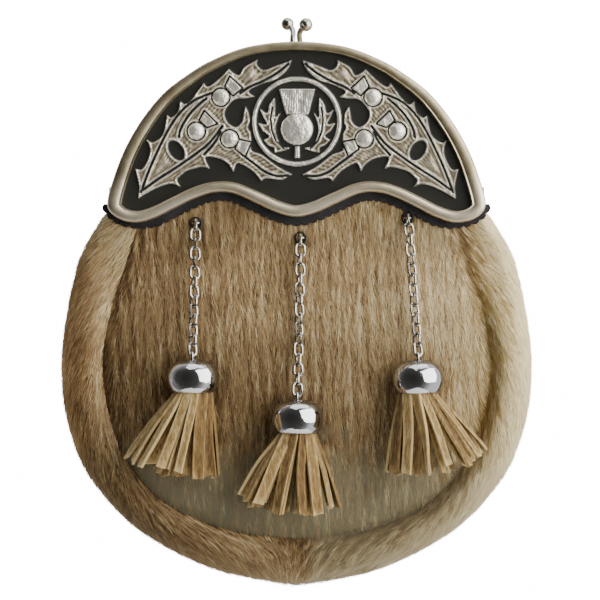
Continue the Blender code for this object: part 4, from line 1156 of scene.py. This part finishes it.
def add_stitches(bm, path, height_y):
    """A row of saddle stitches along a path seen from behind."""
    path = np.array(path)
    lengths = distance_along(path)
    for number in range(int(lengths[-1] / STITCH_PITCH)):
        stitch = []
        for share, lift in STITCH_SHAPE:
            at = number * STITCH_PITCH + share * STITCH_LENGTH
            place = [np.interp(at, lengths, column) for column in path.T]
            stitch.append(at_depth(place, height_y + lift))
        add_wire(bm, stitch, THREAD_RADIUS, 6)


def make_back_stitching():
    """Thread round the back leather and across the feet of both belt loops."""
    bm = bmesh.new()
    edge = []
    for seam, outer in pouch_spokes(4):
        way = (outer - seam).normalized()
        edge.append(seam + (outer - seam) * BACK_SEAM_SHARE - way * STITCH_INSET)
    add_stitches(bm, edge, 0.0)
    for loop_x in (-LOOP_X, LOOP_X):
        for foot_z in LOOP_STITCH_ZS:
            foot = [(loop_x - LOOP_STITCH_HALF, foot_z), (loop_x + LOOP_STITCH_HALF, foot_z)]
            add_stitches(bm, foot, GAP + LEATHER_WALL)
    piece(bm, "back_stitching", THREAD)


# ---- small metal
COLLAR_PROFILE = ((0.0, 0.0), (2.0, 0.0), (2.0, 0.4), (1.6, 1.2), (1.2, 1.9))


def make_clasp_stud(side, base_x, base_y, ball_x, ball_y, radius):
    """A kiss-clasp stud: collar, leaning post and polished ball."""
    base_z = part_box("clasp_ball_" + side)[0].z / MM + STUD_FOOT
    top = BALL_HEIGHT_Z
    route = smooth_rows([(base_x, base_y, base_z - 2.0), (base_x, base_y, base_z + 2.4),
                         (base_x, (base_y + ball_y) / 2, top - 3.0), (ball_x, ball_y, top)], 5)
    bm = bmesh.new()
    add_wire(bm, route, STUD_RADIUS, 12)
    turned(bm, COLLAR_PROFILE, (base_x, base_y, base_z), (0, 0, 1), 28)
    turned(bm, arc((0.0, 0.0), radius, -90, 90, 16), (ball_x, ball_y, top), (0, 0, 1), 32)
    made = piece(bm, "clasp_stud_" + side, NICKEL, 50)
    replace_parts(made, "clasp_ball_" + side)


# ---- stage
# The stage is in metres
SUBJECT = (0.0, -0.03, -0.06)
FLOOR_RADIUS = 0.6
FLOOR_Z = -0.75
SWEEP = 16.0                 # an overexposed white ground, as in the photograph
CAMERA_AIM = (0.0015, -0.037, -0.063)
CAMERA_DISTANCE = 1.7
WIDTH_SEEN = 0.252           # at the cantle's face


def soft_box(name, place, size, power, colour="#ffffff", mirrored_in_metal=True):
    """A rectangular light that faces the sporran."""
    data = bpy.data.lights.new(name, 'AREA')
    data.color = hex_colour(colour)[:3]
    data.shape = 'RECTANGLE'
    data.size, data.size_y = size
    data.energy = power
    made = add_object(name, data)
    made.visible_glossy = mirrored_in_metal
    made.location = place
    made.rotation_euler = (Vector(SUBJECT) - Vector(place)).to_track_quat('-Z', 'Y').to_euler()


def make_stage():
    """Pale floor well below the hanging sporran, soft boxes, and a white room."""
    bm = bmesh.new()
    bmesh.ops.create_circle(bm, cap_ends=True, segments=96, radius=FLOOR_RADIUS)
    bmesh.ops.translate(bm, verts=bm.verts, vec=(0.0, 0.0, FLOOR_Z))
    mesh = bpy.data.meshes.new("floor")
    bm.to_mesh(mesh)
    bm.free()
    paper, _, shader = new_material("matt_white_paper")
    set_sockets(shader, Base_Color=hex_colour("#f2f1ee"), Roughness=0.9)
    mesh.materials.append(paper)
    floor = add_object("floor", mesh)
    soft_box("window_right", (1.10, -0.70, 0.35), (1.8, 1.9), 49.0, "#fffaf2")
    soft_box("ceiling", (0.1, -0.15, 1.3), (1.4, 0.9), 6.0)
    soft_box("fill_left", (-1.3, -0.90, 0.1), (1.0, 1.6), 9.0, mirrored_in_metal=False)

    # White behind the sporran, and a room that darkens towards the left front
    world = bpy.data.worlds.new("white_sweep_dim_room")
    bpy.context.scene.world = world
    world.use_nodes = True
    tree = world.node_tree
    place = add_node(tree, "TexCoord", "Generated")
    toward = add_node(tree, "VectorMath", "Value", {"operation": "DOT_PRODUCT"}, in0=place,
                      in1=Vector((-0.55, -1.0, 0.1)).normalized())
    share = add_node(tree, "MapRange", "Result", Value=toward, From_Min=-1.0)
    room = add_node(tree, "ValToRGB", "Color", in0=share,
                    stops=((0.0, "#f4f4f3"), (0.47, "#e4e3e0"), (0.62, "#8d8a86"),
                           (0.80, "#4c4a47"), (1.0, "#35332f")))
    seen = add_node(tree, "LightPath", "Is Camera Ray")
    mixed = add_node(tree, "Mix", 2, {"data_type": "RGBA", "clamp_result": False},
                     Factor=seen, in6=room, in7=(SWEEP, SWEEP, SWEEP, 1.0))
    set_sockets(tree.nodes["Background"], Color=mixed, Strength=1.0)


def make_camera():
    """A long lens straight in front, framed as the photograph is."""
    data = bpy.data.cameras.new("camera")
    data.sensor_width = 36.0
    data.lens = data.sensor_width * CAMERA_DISTANCE / WIDTH_SEEN
    made = add_object("camera", data)
    x, y, z = CAMERA_AIM
    made.location = (x, y - CAMERA_DISTANCE, z)
    made.rotation_euler = (math.pi / 2, 0.0, 0.0)
    bpy.context.scene.camera = made


# ---- assembly
make_camera()
make_stage()
casting = make_cantle_casting()
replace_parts(casting, "cantle")
make_relief()
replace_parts(make_cantle_mat(), "cantle_mat")
make_skin("front_hide", panel_rings(25, 4), "front_panel", True)
make_skin("gusset_hide", gusset_rings(4, 4), "gusset", False)
for hair_piece in HAIR_PIECES:
    make_hair(*hair_piece)
make_back_stitching()
for stud in CLASP_STUDS:
    make_clasp_stud(*stud)
for tassel, top_x, top_z, low_x, low_z, *skirt_size in TASSELS:
    make_anchor(tassel, top_x, top_z)
    make_chain(tassel, top_x, top_z, low_x, low_z)
    tassel_centre = cap_centre(low_x, low_z)
    make_cap(tassel, tassel_centre)
    make_skirt(tassel, tassel_centre, *skirt_size)
for node, surface in (("back_frame", SILVER), ("hinge_rivet_left", NICKEL),
                      ("hinge_rivet_right", NICKEL), ("back_panel", CALF),
                      ("belt_loop_left", CALF), ("belt_loop_right", CALF)):
    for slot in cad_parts[node].material_slots:
        slot.material = surface
